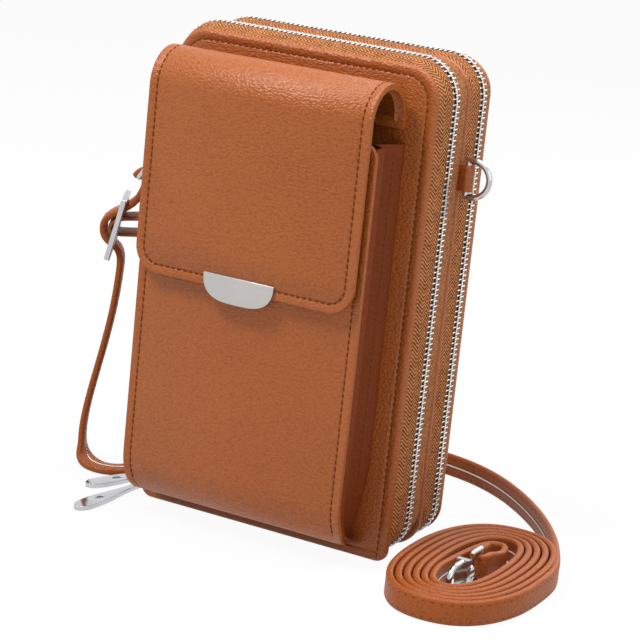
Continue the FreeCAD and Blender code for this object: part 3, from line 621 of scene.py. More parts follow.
zip_half("front_zip_front", "front_case", -SHELL_Y, -0.8, FRONT_CHAIN_Y, 1, 0)
zip_half("front_zip_rear", "middle", 0.4, 0.0, FRONT_CHAIN_Y, -1, 1)
zip_half("rear_zip_front", "middle", 1.6, 0.0, REAR_CHAIN_Y, 1, 0)
zip_half("rear_zip_rear", "back_case", SHELL_Y, -0.8, REAR_CHAIN_Y, -1, 1)


# Curved leather sheets: a side view drawn with a pen, widened along X, rounded and given a thickness
SHARP_TURN = math.radians(70)
SHEET_GROOVE = (1.1, 0.4)


def pen(bm, start):
    return [bm.verts.new(start)], []


def pen_line(bm, stroke, way, steps=1):
    tip, edges = stroke
    for _ in range(steps):
        made = bmesh.ops.extrude_vert_indiv(bm, verts=tip)
        tip = made["verts"]
        edges += made["edges"]
        bmesh.ops.translate(bm, vec=Vector(way) / steps, verts=tip)
    return tip, edges


def pen_arc(bm, stroke, centre, axis, degrees, steps):
    tip, edges = stroke
    made = bmesh.ops.spin(bm, geom=tip, cent=centre, axis=axis, angle=math.radians(degrees), steps=steps,
                          use_duplicate=False)
    found = [edge for edge in bm.edges if edge not in edges]
    return vertices(made["geom_last"]), edges + found


def widened(bm, edges, way):
    made = bmesh.ops.extrude_edge_only(bm, edges=edges)
    bmesh.ops.translate(bm, vec=way, verts=vertices(made["geom"]))


def corner_cut(bm, centre, radius, start, planes=8):
    # Round a corner of a front view by cutting it along planes
    for step in range(planes):
        angle = math.radians(start + 90 * (step + 0.5) / planes)
        way = Vector((math.cos(angle), 0, math.sin(angle)))
        place = Vector((centre[0], 0, centre[1])) + way * radius
        bmesh.ops.bisect_plane(bm, geom=bm.verts[:] + bm.edges[:] + bm.faces[:], plane_co=place, plane_no=way,
                               clear_outer=True)


def facing_out(bm, inside):
    # Turn a sheet's faces away from a place inside it
    outward(bm)
    face = max(bm.faces, key=lambda item: item.calc_area())
    if face.normal.dot(face.calc_center_median() - Vector(inside)) < 0:
        bmesh.ops.reverse_faces(bm, faces=bm.faces)


def walled(bm, thick, rim):
    # A thickness behind a sheet, and its edges rounded
    bmesh.ops.solidify(bm, geom=bm.faces[:], thickness=thick)
    outward(bm)
    bevelled(bm, [edge for edge in bm.edges if edge.calc_face_angle(0.0) > SHARP_TURN], rim)


# Phone pocket
POCKET_LEFT = -50.0
POCKET_RIGHT = 46.0
POCKET_FRONT = -47.5
POCKET_TOP = 163.0
POCKET_BEND = 26.0
POCKET_CURVE = 21.9
POCKET_SWEEP = 48.9
POCKET_CORNER = 12.0
POCKET_CORNER_Z = 15.0
POCKET_TOP_CORNER = 6.0
POCKET_INSET = 3.2
POCKET_THICK = 2.0
POCKET_RIM = 0.9
TUCK_BACK = 16.5
TUCK_DOWN = 6.5
STITCH_TOP = 158.0
POCKET_STITCH_STEPS = 72
POCKET_STITCH_STEP = 2.0


def pocket_front():
    bm = bmesh.new()
    stroke = pen(bm, (POCKET_LEFT, POCKET_FRONT, POCKET_TOP))
    stroke = pen_line(bm, stroke, (0, 0, POCKET_BEND - POCKET_TOP), 3)
    stroke = pen_arc(bm, stroke, (0, POCKET_FRONT + POCKET_CURVE, POCKET_BEND), (1, 0, 0), POCKET_SWEEP, 8)
    stroke = pen_line(bm, stroke, (0, TUCK_BACK, -TUCK_DOWN))
    widened(bm, stroke[1], (POCKET_RIGHT - POCKET_LEFT, 0, 0))
    for x, side in ((POCKET_LEFT, 1), (POCKET_RIGHT, -1)):
        corner_cut(bm, (x + side * POCKET_CORNER, POCKET_CORNER_Z), POCKET_CORNER, 180 if side > 0 else 270)
        corner_cut(bm, (x + side * POCKET_TOP_CORNER, POCKET_TOP - POCKET_TOP_CORNER), POCKET_TOP_CORNER,
                   90 if side > 0 else 0)
    facing_out(bm, (0, 0, 90))
    grooved(bm, bm.faces[:], POCKET_INSET, *SHEET_GROOVE)
    walled(bm, POCKET_THICK, POCKET_RIM)
    finished("pocket_front_leather", bm, "front_case", CASE, ["pocket_front"])


pocket_front()


def pocket_y(z):
    # The pocket's outer face at a height
    if z >= POCKET_BEND:
        return POCKET_FRONT
    return POCKET_FRONT + POCKET_CURVE - math.sqrt(POCKET_CURVE ** 2 - (POCKET_BEND - z) ** 2)


def pocket_out(place):
    if place.z >= POCKET_BEND:
        return -Y_AXIS
    return (place - Vector((place.x, POCKET_FRONT + POCKET_CURVE, POCKET_BEND))).normalized()


def pocket_stitches():
    rows = []
    for edge, side in ((POCKET_LEFT, 1), (POCKET_RIGHT, -1)):
        line = []
        for step in range(POCKET_STITCH_STEPS + 1):
            z = STITCH_TOP - step * POCKET_STITCH_STEP
            fall = max(POCKET_CORNER_Z - z, 0.0)
            x = edge + side * (POCKET_CORNER - math.sqrt((POCKET_CORNER - POCKET_INSET) ** 2 - fall ** 2))
            line.append(Vector((x, pocket_y(z) + STITCH_SINK, z)))
        rows.append((line, pocket_out))
    stitched("pocket_stitches", rows, "front_case")


pocket_stitches()


# Pocket sides: a fold across, as the way out and the way back, drawn in towards the foot
GUSSET_FOLD = [(0.5, 0.0), (0.5, 2.8), (0.5, 5.6), (-0.5, 6.8), (-4.8, 9.7), (-5.0, 10.5), (-4.4, 11.3), (-2.4, 15.1),
               (-0.4, 18.9), (0.3, 19.7), (0.5, 21.8)]
GUSSET_ROWS = (161.0, 120.0, 80.0, 50.0, 40.0, 36.0, 32.0, 29.0, 26.0, 23.0, 20.0, 17.0, 14.5, 12.5, 11.1, 10.0, 9.0,
               8.0, 7.0, 6.2, 5.6)
GUSSET_DEEP = 21.8
GUSSET_THICK = 1.2
GUSSET_TURN = 42.0
GUSSET_DRAW = 8.0
GUSSET_FLATTEN = 0.7
GUSSET_STITCH = (-1.45, 17.0)
POCKET_WALL = 2.1


def pocket_inside(z):
    # The pocket front's inner face at a height
    curve = POCKET_CURVE - POCKET_WALL
    sweep = math.radians(POCKET_SWEEP)
    low = POCKET_BEND - curve * math.sin(sweep)
    fall = min(max(POCKET_BEND - z, 0.0), POCKET_BEND - low)
    y = POCKET_FRONT + POCKET_CURVE - math.sqrt(curve ** 2 - fall ** 2)
    return y + max(low - z, 0.0) * TUCK_BACK / TUCK_DOWN


def gusset_place(edge_x, sign, out, back, z):
    # Where a place of the fold lies at a height
    front = pocket_inside(z)
    share = back / GUSSET_DEEP
    fall = max(GUSSET_TURN - z, 0.0) / GUSSET_TURN
    x = edge_x + sign * (out * (1 - GUSSET_FLATTEN * fall) - GUSSET_DRAW * fall ** 2 * share)
    return Vector((x, front + (FACE_Y - 0.1 - front) * share, z))


def gusset(side, edge_x, sign):
    # A side of the pocket that folds inwards
    bm = bmesh.new()
    section = GUSSET_FOLD + [(out - GUSSET_THICK, back) for out, back in reversed(GUSSET_FOLD)]
    lofted(bm, [[gusset_place(edge_x, sign, out, back, z) for out, back in section] for z in GUSSET_ROWS])
    # The sides take the darker leather, painted shade of their recess
    finished(f"{side}_gusset_leather", bm, "front_case", SHADED_GUSSET, [f"pocket_gusset_{side}"])
    row = [gusset_place(edge_x, sign, *GUSSET_STITCH, z) for z in (STITCH_TOP,) + GUSSET_ROWS[1:-6]]
    stitched(f"{side}_gusset_stitches", [(row, Vector((sign * 0.885, -0.466, 0)))], "front_case")


gusset("right", 44.8, 1)
gusset("left", -48.8, -1)

# Flap: one sheet from its root on the panel, over the pocket's mouth and down the front
FLAP_LEFT = -49.6
FLAP_RIGHT = 44.4
FLAP_PIVOT_Y = -37.5
FLAP_PIVOT_Z = 170.5
FLAP_FRONT = -51.5
FLAP_BOTTOM = 99.5
FLAP_ROOT = 4.0
FLAP_CORNER = 10.0
FLAP_INSET = 3.4
FLAP_THICK = 2.4
FLAP_RIM = 1.1
FLAP_STITCH_BEND = 100
FLAP_BLEND = ("front_case", "flap", (0, -0.0247, 0.1705), (0, -0.0503, 0.1705))


def flap_sheet():
    bm = bmesh.new()
    stroke = pen(bm, (FLAP_LEFT, FACE_Y - 0.05, FLAP_PIVOT_Z - FLAP_ROOT))
    stroke = pen_line(bm, stroke, (0, 0, FLAP_ROOT))
    stroke = pen_arc(bm, stroke, (0, FLAP_PIVOT_Y, FLAP_PIVOT_Z), (1, 0, 0), 180, 24)
    stroke = pen_line(bm, stroke, (0, 0, FLAP_BOTTOM - FLAP_PIVOT_Z), 4)
    widened(bm, stroke[1], (FLAP_RIGHT - FLAP_LEFT, 0, 0))
    for x, side in ((FLAP_LEFT, 1), (FLAP_RIGHT, -1)):
        corner_cut(bm, (x + side * FLAP_CORNER, FLAP_BOTTOM + FLAP_CORNER), FLAP_CORNER, 180 if side > 0 else 270)
    facing_out(bm, (0, FLAP_PIVOT_Y, 120))
    grooved(bm, bm.faces[:], FLAP_INSET, *SHEET_GROOVE)
    walled(bm, FLAP_THICK, FLAP_RIM)
    finished("flap_leather", bm, "flap", CASE, ["flap_leaf", "flap_bridge", "flap_root"],
             blended=FLAP_BLEND)


flap_sheet()


def flap_out(place):
    if place.z <= FLAP_PIVOT_Z:
        return -Y_AXIS
    return (place - Vector((place.x, FLAP_PIVOT_Y, FLAP_PIVOT_Z))).normalized()


def flap_stitches():
    # Down the left side from the bend, round both corners and up the right side
    radius = FLAP_CORNER - FLAP_INSET
    face = FLAP_FRONT + STITCH_SINK
    reach = FLAP_PIVOT_Y - face
    bend = []
    for step in range(10):
        angle = math.radians(FLAP_STITCH_BEND * step / 9)
        bend.append((FLAP_PIVOT_Y - reach * math.cos(angle), FLAP_PIVOT_Z + reach * math.sin(angle)))
    line = [Vector((FLAP_LEFT + FLAP_INSET, y, z)) for y, z in reversed(bend)]
    for x, start in ((FLAP_LEFT + FLAP_CORNER, 180), (FLAP_RIGHT - FLAP_CORNER, 270)):
        for step in range(9):
            angle = math.radians(start + 90 * step / 8)
            z = FLAP_BOTTOM + FLAP_CORNER + radius * math.sin(angle)
            line.append(Vector((x + radius * math.cos(angle), face, z)))
    line += [Vector((FLAP_RIGHT - FLAP_INSET, y, z)) for y, z in bend]
    stitched("flap_stitches", [(line, flap_out)], "flap", blended=FLAP_BLEND)


flap_stitches()

# Flap plate
PLATE_MIDDLE = -3.0
PLATE_HALF = 15.25
PLATE_TOP = 104.7
PLATE_FALL = 10.4
PLATE_THICK = 1.2
PLATE_BEVEL = 0.35


def flap_plate():
    # Satin plate with a flat top, short straight sides and a full round below
    bm = bmesh.new()
    rim = []
    for step in range(33):
        angle = math.pi * (1 + step / 32)
        across = math.copysign(abs(math.cos(angle)) ** 0.62, math.cos(angle))
        fall = abs(math.sin(angle)) ** 0.8
        rim.append(bm.verts.new((PLATE_MIDDLE + PLATE_HALF * across, FLAP_FRONT - PLATE_THICK,
                                 PLATE_TOP - PLATE_FALL * fall)))
    face = bm.faces.new(rim)
    face.normal_update()
    if face.normal.y > 0:
        face.normal_flip()
    raised(bm, [face], (0, PLATE_THICK, 0))
    bevelled(bm, list(front_face(bm).edges), PLATE_BEVEL)
    finished("flap_plate_metal", bm, "flap", SATIN, ["flap_plate"], sharp=45.0)


flap_plate()


# Ring tabs: a leather strip folded round each ring's bar and sewn to the divider
TAB_START = (56.4, -0.35, 143.1)
TAB_WIDTH = 9.8
TAB_THICK = 0.9
TAB_RIM = 0.25
TAB_STRAIGHT = 1.6
TAB_RISE = (2.2, -1.2)
RING_BAR = (60.2, 1.0)


def ring_tab(side, sign):
    bm = bmesh.new()
    rise_x, rise_y = TAB_RISE
    stroke = pen(bm, (sign * TAB_START[0], TAB_START[1], TAB_START[2]))
    stroke = pen_line(bm, stroke, (sign * TAB_STRAIGHT, 0, 0))
    stroke = pen_line(bm, stroke, (sign * rise_x, rise_y, 0))
    stroke = pen_arc(bm, stroke, (sign * RING_BAR[0], RING_BAR[1], 0), (0, 0, sign), 180, 10)
    stroke = pen_line(bm, stroke, (sign * -rise_x, rise_y, 0))
    stroke = pen_line(bm, stroke, (sign * -TAB_STRAIGHT, 0, 0))
    widened(bm, stroke[1], (0, 0, TAB_WIDTH))
    facing_out(bm, (sign * 58.0, 1.0, 148.0))
    walled(bm, TAB_THICK, TAB_RIM)
    finished(f"{side}_ring_tab_leather", bm, "middle", CASE, [f"{side}_ring_tab"])


ring_tab("right", 1)
ring_tab("left", -1)

# Metal pieces that keep their own shape
KEPT_NODES = {
    "pocket_magnet": STEEL, "flap_magnet": STEEL, "front_slider": POLISHED, "rear_slider": POLISHED,
    "right_ring": POLISHED, "left_ring": POLISHED,
    "left_clasp_eye": POLISHED, "left_clasp_hook": POLISHED, "left_clasp_gate": POLISHED,
    "right_clasp_eye": POLISHED, "right_clasp_hook": POLISHED, "right_clasp_gate": POLISHED,
}
for node, material in KEPT_NODES.items():
    frame["nodes"][node].data.materials.clear()
    frame["nodes"][node].data.materials.append(material)

# Zip pulls: a spoon-shaped leaf with a slot, a knuckle and an eye round the slider's bridge
PULL_LENGTH = 46.0
PULL_THICK = 1.8
PULL_DIP = math.asin(1.2 / PULL_LENGTH)
BOWL_START = 39.6
BOWL_HALF = 3.7
NECK_HALF = 1.25
NECK_END = 10.0
FLARE = 26.0
LEAF_START = 4.2
LEAF_BEVEL = 0.4
SLOT_PLACE = 31.5
SLOT_HALF = (2.3, 1.3)
KNUCKLE_PLACE = 3.9
KNUCKLE_RADIUS = 1.5
EYE_PLACE = 0.4
EYE_RADIUS = 2.3
EYE_WIRE = 0.45
PULL_PIVOT = (-58.66, 2.45)
CHAIN_WAY = Vector((0.669, 0, -0.743))


def loop_of_edges(bm, places):
    corners = [bm.verts.new((x, y, -PULL_THICK / 2)) for x, y in places]
    return [bm.edges.new(pair) for pair in zip(corners, corners[1:] + corners[:1])]


def spoon():
    # Half of the leaf's outline, from the knuckle to the tip
    places = []
    for step in range(17):
        x = LEAF_START + (BOWL_START - LEAF_START) * step / 16
        share = part_of((x - NECK_END) / FLARE)
        places.append((x, NECK_HALF + (BOWL_HALF - NECK_HALF) * share * share * (3 - 2 * share)))
    for step in range(1, 9):
        angle = QUARTER * step / 9
        places.append((BOWL_START + (PULL_LENGTH - BOWL_START) * math.sin(angle), BOWL_HALF * math.cos(angle)))
    return places


def pull(side, chain_y, heading_angle):
    heading = Vector((math.cos(heading_angle), math.sin(heading_angle), 0))
    along = heading * math.cos(PULL_DIP) - Z_AXIS * math.sin(PULL_DIP)
    across = Z_AXIS.cross(heading)
    turn = turned_to(along, across, along.cross(across))
    bm = bmesh.new()
    half = spoon()
    edges = loop_of_edges(bm, half + [(PULL_LENGTH, 0.0)] + [(x, -y) for x, y in reversed(half)])
    angles = [step * math.pi / 10 for step in range(20)]
    edges += loop_of_edges(bm, [(SLOT_PLACE + SLOT_HALF[0] * math.cos(angle), SLOT_HALF[1] * math.sin(angle))
                                for angle in angles])
    bmesh.ops.triangle_fill(bm, use_beauty=True, use_dissolve=False, edges=edges, normal=(0, 0, 1))
    raised(bm, bm.faces[:], (0, 0, PULL_THICK))
    bevelled(bm, [edge for edge in bm.edges if edge.calc_face_angle(0.0) > SHARP_TURN], LEAF_BEVEL)
    bmesh.ops.create_uvsphere(bm, u_segments=20, v_segments=12, radius=KNUCKLE_RADIUS,
                              matrix=Matrix.Translation((KNUCKLE_PLACE, 0, 0)))
    wire = bmesh.ops.create_circle(bm, segments=10, radius=EYE_WIRE, matrix=Matrix.Translation((EYE_RADIUS, 0, 0))
                                   @ Matrix.Rotation(QUARTER, 4, "X"))["verts"]
    rim = [edge for edge in bm.edges if edge.verts[0] in wire and edge.verts[1] in wire]
    before = set(bm.verts) - set(wire)
    bmesh.ops.spin(bm, geom=rim, cent=(0, 0, 0), axis=(0, 0, 1), angle=4 * QUARTER, steps=28, use_merge=True,
                   use_duplicate=False)
    eye = [corner for corner in bm.verts if corner not in before]
    axis = turn.to_3x3().inverted() @ CHAIN_WAY
    axis.x = 0.0
    lean = Z_AXIS.rotation_difference(axis.normalized()).to_matrix().to_4x4()
    bmesh.ops.transform(bm, matrix=Matrix.Translation((EYE_PLACE, 0, 0)) @ lean, verts=eye)
    pivot = Matrix.Translation((PULL_PIVOT[0], chain_y, PULL_PIVOT[1]))
    bmesh.ops.transform(bm, matrix=pivot @ turn, verts=bm.verts)
    outward(bm)
    finished(f"{side}_pull_metal", bm, f"{side}_pull_body", POLISHED, [f"{side}_pull"])


pull("front", FRONT_CHAIN_Y, math.radians(265.0))
pull("rear", REAR_CHAIN_Y, math.radians(248.0))

# Strap: listed points from the left clasp's eye, through the buckle, round behind the pouch to the coil
STRAP_WIDTH = 9.5
STRAP_THICK = 2.7
STRAP_ROUND = 1.15
TAIL_THICK = 1.6
STRAP_STITCH_INSET = 1.7
STRAP_STITCH_PITCH = 3.6
STRAP_STITCH_SINK = 0.18
JOIN_SECTION = (1.5, 0.04)
FILLER_SECTION = (0.75, 0.12)
JOIN_ROOT = 0.3
LEFT_EYE = Vector((-80.18, 1.0, 123.71))
HANG = Vector((-0.5906, 0, -0.8070))
HANG_START = 2.5
HANG_REACH = 2.65
HANG_SIDE = Y_AXIS.cross(HANG) * HANG_REACH
BUCKLE = Vector((-92.65, 1.0, 100.7))
BUCKLE_ALONG = Vector((-0.2351, 0, -0.9720))
BUCKLE_ACROSS = Vector((-0.4437, 0.8897, 0.1073))
BUCKLE_LEFT = BUCKLE_ACROSS.cross(BUCKLE_ALONG)
BUCKLE_THICK = 2.4
BUCKLE_BEVEL = 0.5
BUCKLE_ROWS = (-13.4, -11.0, -1.5, 1.5, 11.0, 13.4)
BUCKLE_COLUMNS = (-7.35, -5.35, 5.35, 7.35)
BUCKLE_BULGE = [(-11.8, -4.8), (-2.9, 5.4), (2.5, 5.5), (6.6, 3.0), (9.2, -4.8)]
TAIL_LOOP = [(-7.2, -19.6), (-10.2, -17.6), (-6.9, -8.4), (-3.2, 2.6), (3.6, 2.6), (0.3, -8.6), (-2.6, -18.4),
             (-5.2, -19.8)]
DROP_ACROSS = Vector((-0.467, 0.884, 0))
TURN_FROM = 121.0
TURN_OVER = 9.0
FLOOR_BEND = 20.0
LIE_FROM = 0.97
LIE_OVER = 0.85
STAND_FROM = 195.0
STAND_OVER = 110.0
STRAP_ROUTE = [
    (-90.0, 1.0, 78.0), (-91.0, 0.5, 66.0), (-93.5, -0.5, 50.0), (-96.0, -3.0, 33.0), (-97.1, -4.6, 22.5),
    (-97.4, -5.6, 13.5), (-96.0, -6.7, 6.4), (-91.8, -8.9, 2.2), (-85.2, -10.4, 1.45), (-79.2, -8.6, 1.4),
    (-74.9, -4.0, 1.4), (-72.8, 2.6, 1.4), (-71.6, 11.6, 1.6), (-70.2, 22.8, 2.4), (-68.2, 37.0, 3.6),
    (-62.8, 54.0, 4.6), (-52.0, 70.5, 4.8), (-33.0, 85.5, 4.75), (-8.0, 96.0, 4.75), (16.0, 98.6, 4.75),
    (37.0, 94.0, 4.75), (55.5, 83.6, 4.75), (73.5, 67.6, 4.75), (89.0, 49.8, 4.75), (101.4, 31.4, 4.75),
    (110.0, 14.6, 4.75),
]
COIL_CENTRE = Vector((90.6, -17.2, 4.75))
COIL_SLANT = Matrix.Rotation(math.radians(3.0), 3, "Z")
COIL_HALF_X = 9.6
COIL_HALF_Y = 30.5
COIL_PITCH = 3.3
COIL_TURNS = 5.5
COIL_ROUND = 0.85
STEPS_PER_TURN = 24
COIL_START = [(93.4, 1.5, 4.75), (92.2, 6.0, 4.75), (89.2, 8.4, 4.75), (85.6, 6.6, 4.75), (83.2, 0.5, 4.75)]
COIL_LEAVE = [(117.6, -10.0, 4.75), (115.6, 1.6, 4.75)]
STRAP_END = [(93.65, -1.5, 4.8), (93.65, -7.5, 6.0), (93.65, -12.0, 7.2), (93.65, -17.4, 7.3), (88.35, -17.4, 7.3),
             (88.35, -9.0, 7.3), (88.35, -2.8, 7.3)]


def buckle():
    # Slide buckle with two slots and rounded bars
    bm = bmesh.new()
    rows = [[bm.verts.new((x, y, -BUCKLE_THICK / 2)) for y in BUCKLE_COLUMNS] for x in BUCKLE_ROWS]
    for i, (low, high) in enumerate(zip(rows, rows[1:])):
        for j in range(3):
            if j != 1 or i not in (1, 3):
                bm.faces.new((low[j], high[j], high[j + 1], low[j + 1]))
    raised(bm, bm.faces[:], (0, 0, BUCKLE_THICK))
    bevelled(bm, [edge for edge in bm.edges if edge.calc_face_angle(0.0) > SHARP_TURN], BUCKLE_BEVEL)
    turn = turned_to(BUCKLE_ALONG, BUCKLE_ACROSS, BUCKLE_LEFT * -1)
    bmesh.ops.transform(bm, matrix=Matrix.Translation(BUCKLE) @ turn, verts=bm.verts)
    outward(bm)
    return finished("buckle_metal", bm, "middle", POLISHED, ["buckle"])


def coil_points():
    # Oval turns from the strap's end inside the coil to where the outer turn leaves it
    points = [Vector(place) for place in COIL_START]
    for step in range(1, round(COIL_TURNS * STEPS_PER_TURN)):
        turn = step / STEPS_PER_TURN
        angle = math.pi + 2 * math.pi * turn
        wide = math.copysign(abs(math.cos(angle)) ** COIL_ROUND, math.cos(angle))
        deep = math.copysign(abs(math.sin(angle)) ** COIL_ROUND, math.sin(angle))
        grown_by = COIL_PITCH * turn
        place = Vector(((COIL_HALF_X + grown_by) * wide, (COIL_HALF_Y + grown_by) * deep, 0))
        points.append(COIL_CENTRE + COIL_SLANT @ place)
    return points + [Vector(place) for place in COIL_LEAVE]


def smooth_line(name, points, detail):
    # Points along a smooth spline that the route leads
    curve = bpy.data.curves.new(name, "CURVE")
    curve.dimensions = "3D"
    spline = curve.splines.new("NURBS")
    spline.points.add(len(points) - 1)
    for control, place in zip(spline.points, points):
        control.co = (*place, 1.0)
    spline.order_u = 3
    spline.use_endpoint_u = True
    spline.resolution_u = detail
    holder = bpy.data.objects.new(name, curve)
    scene.collection.objects.link(holder)
    mesh = bpy.data.meshes.new_from_object(holder)
    line = [corner.co.copy() for corner in mesh.vertices]
    bpy.data.objects.remove(holder)
    bpy.data.curves.remove(curve)
    bpy.data.meshes.remove(mesh)
    return line


def tangents(line):
    ahead = line[1:] + line[-1:]
    behind = line[:1] + line[:-1]
    return [(a - b).normalized() for a, b in zip(ahead, behind)]


def band_ring(bm, thick):
    # Rounded section of a flat strap, drawn in its own x (thickness) and y (width)
    x, y = thick / 2, STRAP_WIDTH / 2
    corners = [bm.verts.new(place) for place in ((-x, -y, 0), (x, -y, 0), (x, y, 0), (-x, y, 0))]
    bm.faces.new(corners)
    bmesh.ops.bevel(bm, geom=corners, offset=STRAP_ROUND, offset_type="OFFSET", affect="VERTICES", segments=4,
                    profile=0.5, material=-1)
    return bm.faces[:][0]


def strap_band(name, line, acrosses, thick, nodes):
    # Sweep the section along the line, its width along the given directions
    bm = bmesh.new()
    face = band_ring(bm, thick)
    frames = []
    for place, along, across in zip(line, tangents(line), acrosses):
        thin = across.cross(along).normalized()
        wide = along.cross(thin).normalized()
        frames.append(Matrix.Translation(place) @ turned_to(thin, wide, along))
    bmesh.ops.transform(bm, matrix=frames[0], verts=bm.verts)
    ring = list(face.edges)
    for before, after in zip(frames, frames[1:]):
        made = bmesh.ops.extrude_edge_only(bm, edges=ring)
        moved = set(vertices(made["geom"]))
        bmesh.ops.transform(bm, matrix=after @ before.inverted(), verts=list(moved))
        ring = [edge for edge in edges_of(made["geom"]) if set(edge.verts) <= moved]
    bmesh.ops.holes_fill(bm, edges=ring, sides=0)
    outward(bm)
    piece = finished(name, bm, "middle", STRAP, nodes, sharp=60.0)
    return piece, frames


def strap_stitches(frames):
    # Two rows on each face of the strap
    bm = bmesh.new()
    side = STRAP_WIDTH / 2 - STRAP_STITCH_INSET
    for face in (-1, 1):
        for row in (-1, 1):
            corner = Vector((face * (STRAP_THICK / 2 - STRAP_STITCH_SINK), row * side, 0))
            line = [frame_at @ corner for frame_at in frames]
            outs = [frame_at.to_3x3() @ Vector((face, 0, 0)) for frame_at in frames]
            index = 0
            for place, along in walk(line, STRAP_STITCH_PITCH):
                while index < len(line) - 2 and (line[index + 1] - place).dot(along) < 0:
                    index += 1
                scattered(bm, STITCH, frame_matrix(place, along, outs[index]))
    return finished("strap_stitches", bm, "middle", THREAD, sharp=80.0)


def strap_seam(name, frames, width, proud, material):
    # The join of the turned edges, a line along the middle of the strap's inner face
    bm = bmesh.new()
    inner = -STRAP_THICK / 2 + JOIN_ROOT
    outer = -STRAP_THICK / 2 - proud
    side = width / 2
    section = [Vector(place) for place in ((inner, -side, 0), (outer, -side, 0), (outer, side, 0), (inner, side, 0))]
    lofted(bm, [[frame_at @ place for place in section] for frame_at in frames])
    return finished(name, bm, "middle", material)


def by_buckle(places):
    # Places in the buckle's own directions, along it and to its left
    return [BUCKLE + BUCKLE_ALONG * along + BUCKLE_LEFT * left for along, left in places]


def strap_acrosses(line):
    # The strap's width: across the pouch at the clasp, turned at the buckle, flat at the floor, then standing on edge
    acrosses = []
    reach = 0.0
    last = line[0]
    for place, along in zip(line, tangents(line)):
        reach += (place - last).length
        last = place
        lying = 1.0
        if place.x < 0:
            lying = part_of((LIE_FROM - abs(along.z)) / LIE_OVER) if place.z < FLOOR_BEND else 0.0
        standing = part_of((reach - STAND_FROM) / STAND_OVER) * QUARTER
        flat = Z_AXIS.cross(along)
        upright = Y_AXIS.lerp(DROP_ACROSS, part_of((TURN_FROM - place.z) / TURN_OVER))
        base = upright.lerp(flat.normalized() if flat.length > 0.05 else upright, lying).normalized()
        acrosses.append(base * math.cos(standing) + Z_AXIS * math.sin(standing))
    return acrosses


def strap():
    eye = [LEFT_EYE + HANG_SIDE + HANG * HANG_START, LEFT_EYE + HANG_SIDE - HANG * HANG_REACH,
           LEFT_EYE - HANG_SIDE - HANG * HANG_REACH]
    route = [Vector(place) for place in STRAP_ROUTE]
    end = [Vector(place) for place in STRAP_END]
    line = smooth_line("strap_route", eye + by_buckle(BUCKLE_BULGE) + route + coil_points()[::-1] + end, 4)
    piece, frames = strap_band("strap_leather", line, strap_acrosses(line), STRAP_THICK,
                               ["strap_hanger", "strap_run", "strap_coil", "strap_end"])
    rows = strap_stitches(frames)
    join = strap_seam("strap_join", frames, *JOIN_SECTION, THREAD)
    filler = strap_seam("strap_filler", frames, *FILLER_SECTION, FILLER)
    loop = smooth_line("tail_route", by_buckle(TAIL_LOOP), 6)
    tail, _ = strap_band("strap_tail_leather", loop, [BUCKLE_ACROSS] * len(loop), TAIL_THICK, ["strap_tail"])
    length = sum((b - a).length for a, b in zip(line, line[1:])) * MM
    clasps = [frame["nodes"][f"{side}_clasp_{item}"] for side in ("left", "right") for item in ("eye", "hook", "gate")]
    [rows, join, filler, tail, buckle()] + clasps


strap()

# Floor, light and camera
FLOOR_HALF = 4000.0
FLOOR_TONE = (0.7, 0.7, 0.7, 1)
FLOOR_GLOW = 0.94
WORLD_SOFT = 0.3
WHITE = (1, 1, 1, 1)


def floor():
    bm = bmesh.new()
    bmesh.ops.create_grid(bm, x_segments=1, y_segments=1, size=FLOOR_HALF * MM)
    mesh = bpy.data.meshes.new("floor")
    bm.to_mesh(mesh)
    bm.free()
    finish = Finish("pale_floor")
    rays = finish.nodes.new("ShaderNodeLightPath")
    seen = Shade(finish, rays.outputs["Is Camera Ray"])
    seen = seen + Shade(finish, rays.outputs["Is Glossy Ray"]) + Shade(finish, rays.outputs["Is Transmission Ray"])
    white = finish.add("ShaderNodeEmission", {}, {"Color": WHITE, "Strength": 1.0})
    matt = finish.add("ShaderNodeBsdfDiffuse", {}, {"Color": FLOOR_TONE})
    both = finish.add("ShaderNodeMixShader", {}, {0: seen.clipped(0.0, 1.0) * FLOOR_GLOW, 1: matt, 2: white})
    finish.add("ShaderNodeOutputMaterial", {}, {"Surface": both})
    mesh.materials.append(finish.material)
    plane = bpy.data.objects.new("floor", mesh)
    scene.collection.objects.link(plane)


floor()


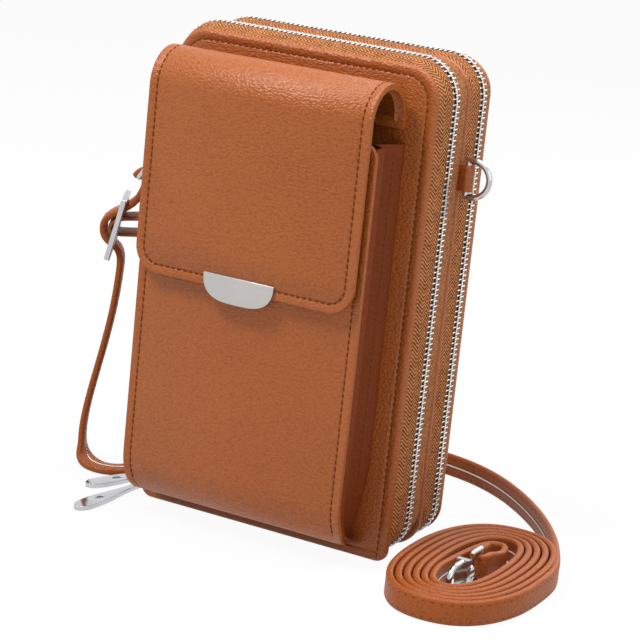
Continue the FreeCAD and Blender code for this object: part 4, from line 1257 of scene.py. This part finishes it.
def world():
    scene.world = bpy.data.worlds.new("studio")
    scene.world.use_nodes = True
    nodes = scene.world.node_tree.nodes
    links = scene.world.node_tree.links
    nodes.clear()
    rays = nodes.new("ShaderNodeLightPath")
    seen = None
    for name in ("Is Camera Ray", "Is Glossy Ray", "Is Transmission Ray"):
        step = nodes.new("ShaderNodeMath")
        step.operation = "MAXIMUM"
        links.new(rays.outputs[name], step.inputs[0])
        step.inputs[1].default_value = 0.0
        if seen:
            links.new(seen, step.inputs[1])
        seen = step.outputs[0]
    mix = nodes.new("ShaderNodeMixShader")
    links.new(seen, mix.inputs[0])
    for socket, strength in ((1, WORLD_SOFT), (2, 1.0)):
        sky = nodes.new("ShaderNodeBackground")
        sky.inputs["Color"].default_value = WHITE
        sky.inputs["Strength"].default_value = strength
        links.new(sky.outputs[0], mix.inputs[socket])
    out = nodes.new("ShaderNodeOutputWorld")
    links.new(mix.outputs[0], out.inputs[0])


world()

LAMP_TARGET = Vector((0, 0, 0.09))


def lamp(name, place, width, power):
    data = bpy.data.lights.new(name, "AREA")
    data.size = width
    data.energy = power
    item = bpy.data.objects.new(name, data)
    item.location = place
    item.rotation_euler = (LAMP_TARGET - Vector(place)).to_track_quat("-Z", "Y").to_euler()
    scene.collection.objects.link(item)


lamp("key_lamp", (-0.42, -0.62, 1.2), 0.4, 13.8)
lamp("top_lamp", (0.25, 0.1, 1.2), 0.7, 10.0)
lamp("side_lamp", (1.0, -0.35, 0.5), 0.7, 2.2)
lamp("back_lamp", (0.1, 1.1, 0.7), 0.7, 3.5)

CAMERA_AZIMUTH = math.radians(27.864)
CAMERA_HEIGHT = math.radians(14.134)
CAMERA_ROLL = math.radians(5.946)
CAMERA_DISTANCE = 908.859
CAMERA_LENS = 135.0
CAMERA_SENSOR = 36.0
CAMERA_TARGET = Vector((17.489, -23.5, 88.339))


def camera():
    back = Vector((math.sin(CAMERA_AZIMUTH) * math.cos(CAMERA_HEIGHT),
                   -math.cos(CAMERA_AZIMUTH) * math.cos(CAMERA_HEIGHT), math.sin(CAMERA_HEIGHT)))
    right = Vector((math.cos(CAMERA_AZIMUTH), math.sin(CAMERA_AZIMUTH), 0))
    up = back.cross(right)
    level = right * math.cos(CAMERA_ROLL) + up * math.sin(CAMERA_ROLL)
    rise = up * math.cos(CAMERA_ROLL) - right * math.sin(CAMERA_ROLL)
    data = bpy.data.cameras.new("camera")
    data.lens = CAMERA_LENS
    data.sensor_width = CAMERA_SENSOR
    item = bpy.data.objects.new("camera", data)
    place = (CAMERA_TARGET + back * CAMERA_DISTANCE) * MM
    item.matrix_world = Matrix.Translation(place) @ turned_to(level, rise, back)
    scene.collection.objects.link(item)
    scene.camera = item


camera()
scene.view_settings.view_transform = "Standard"
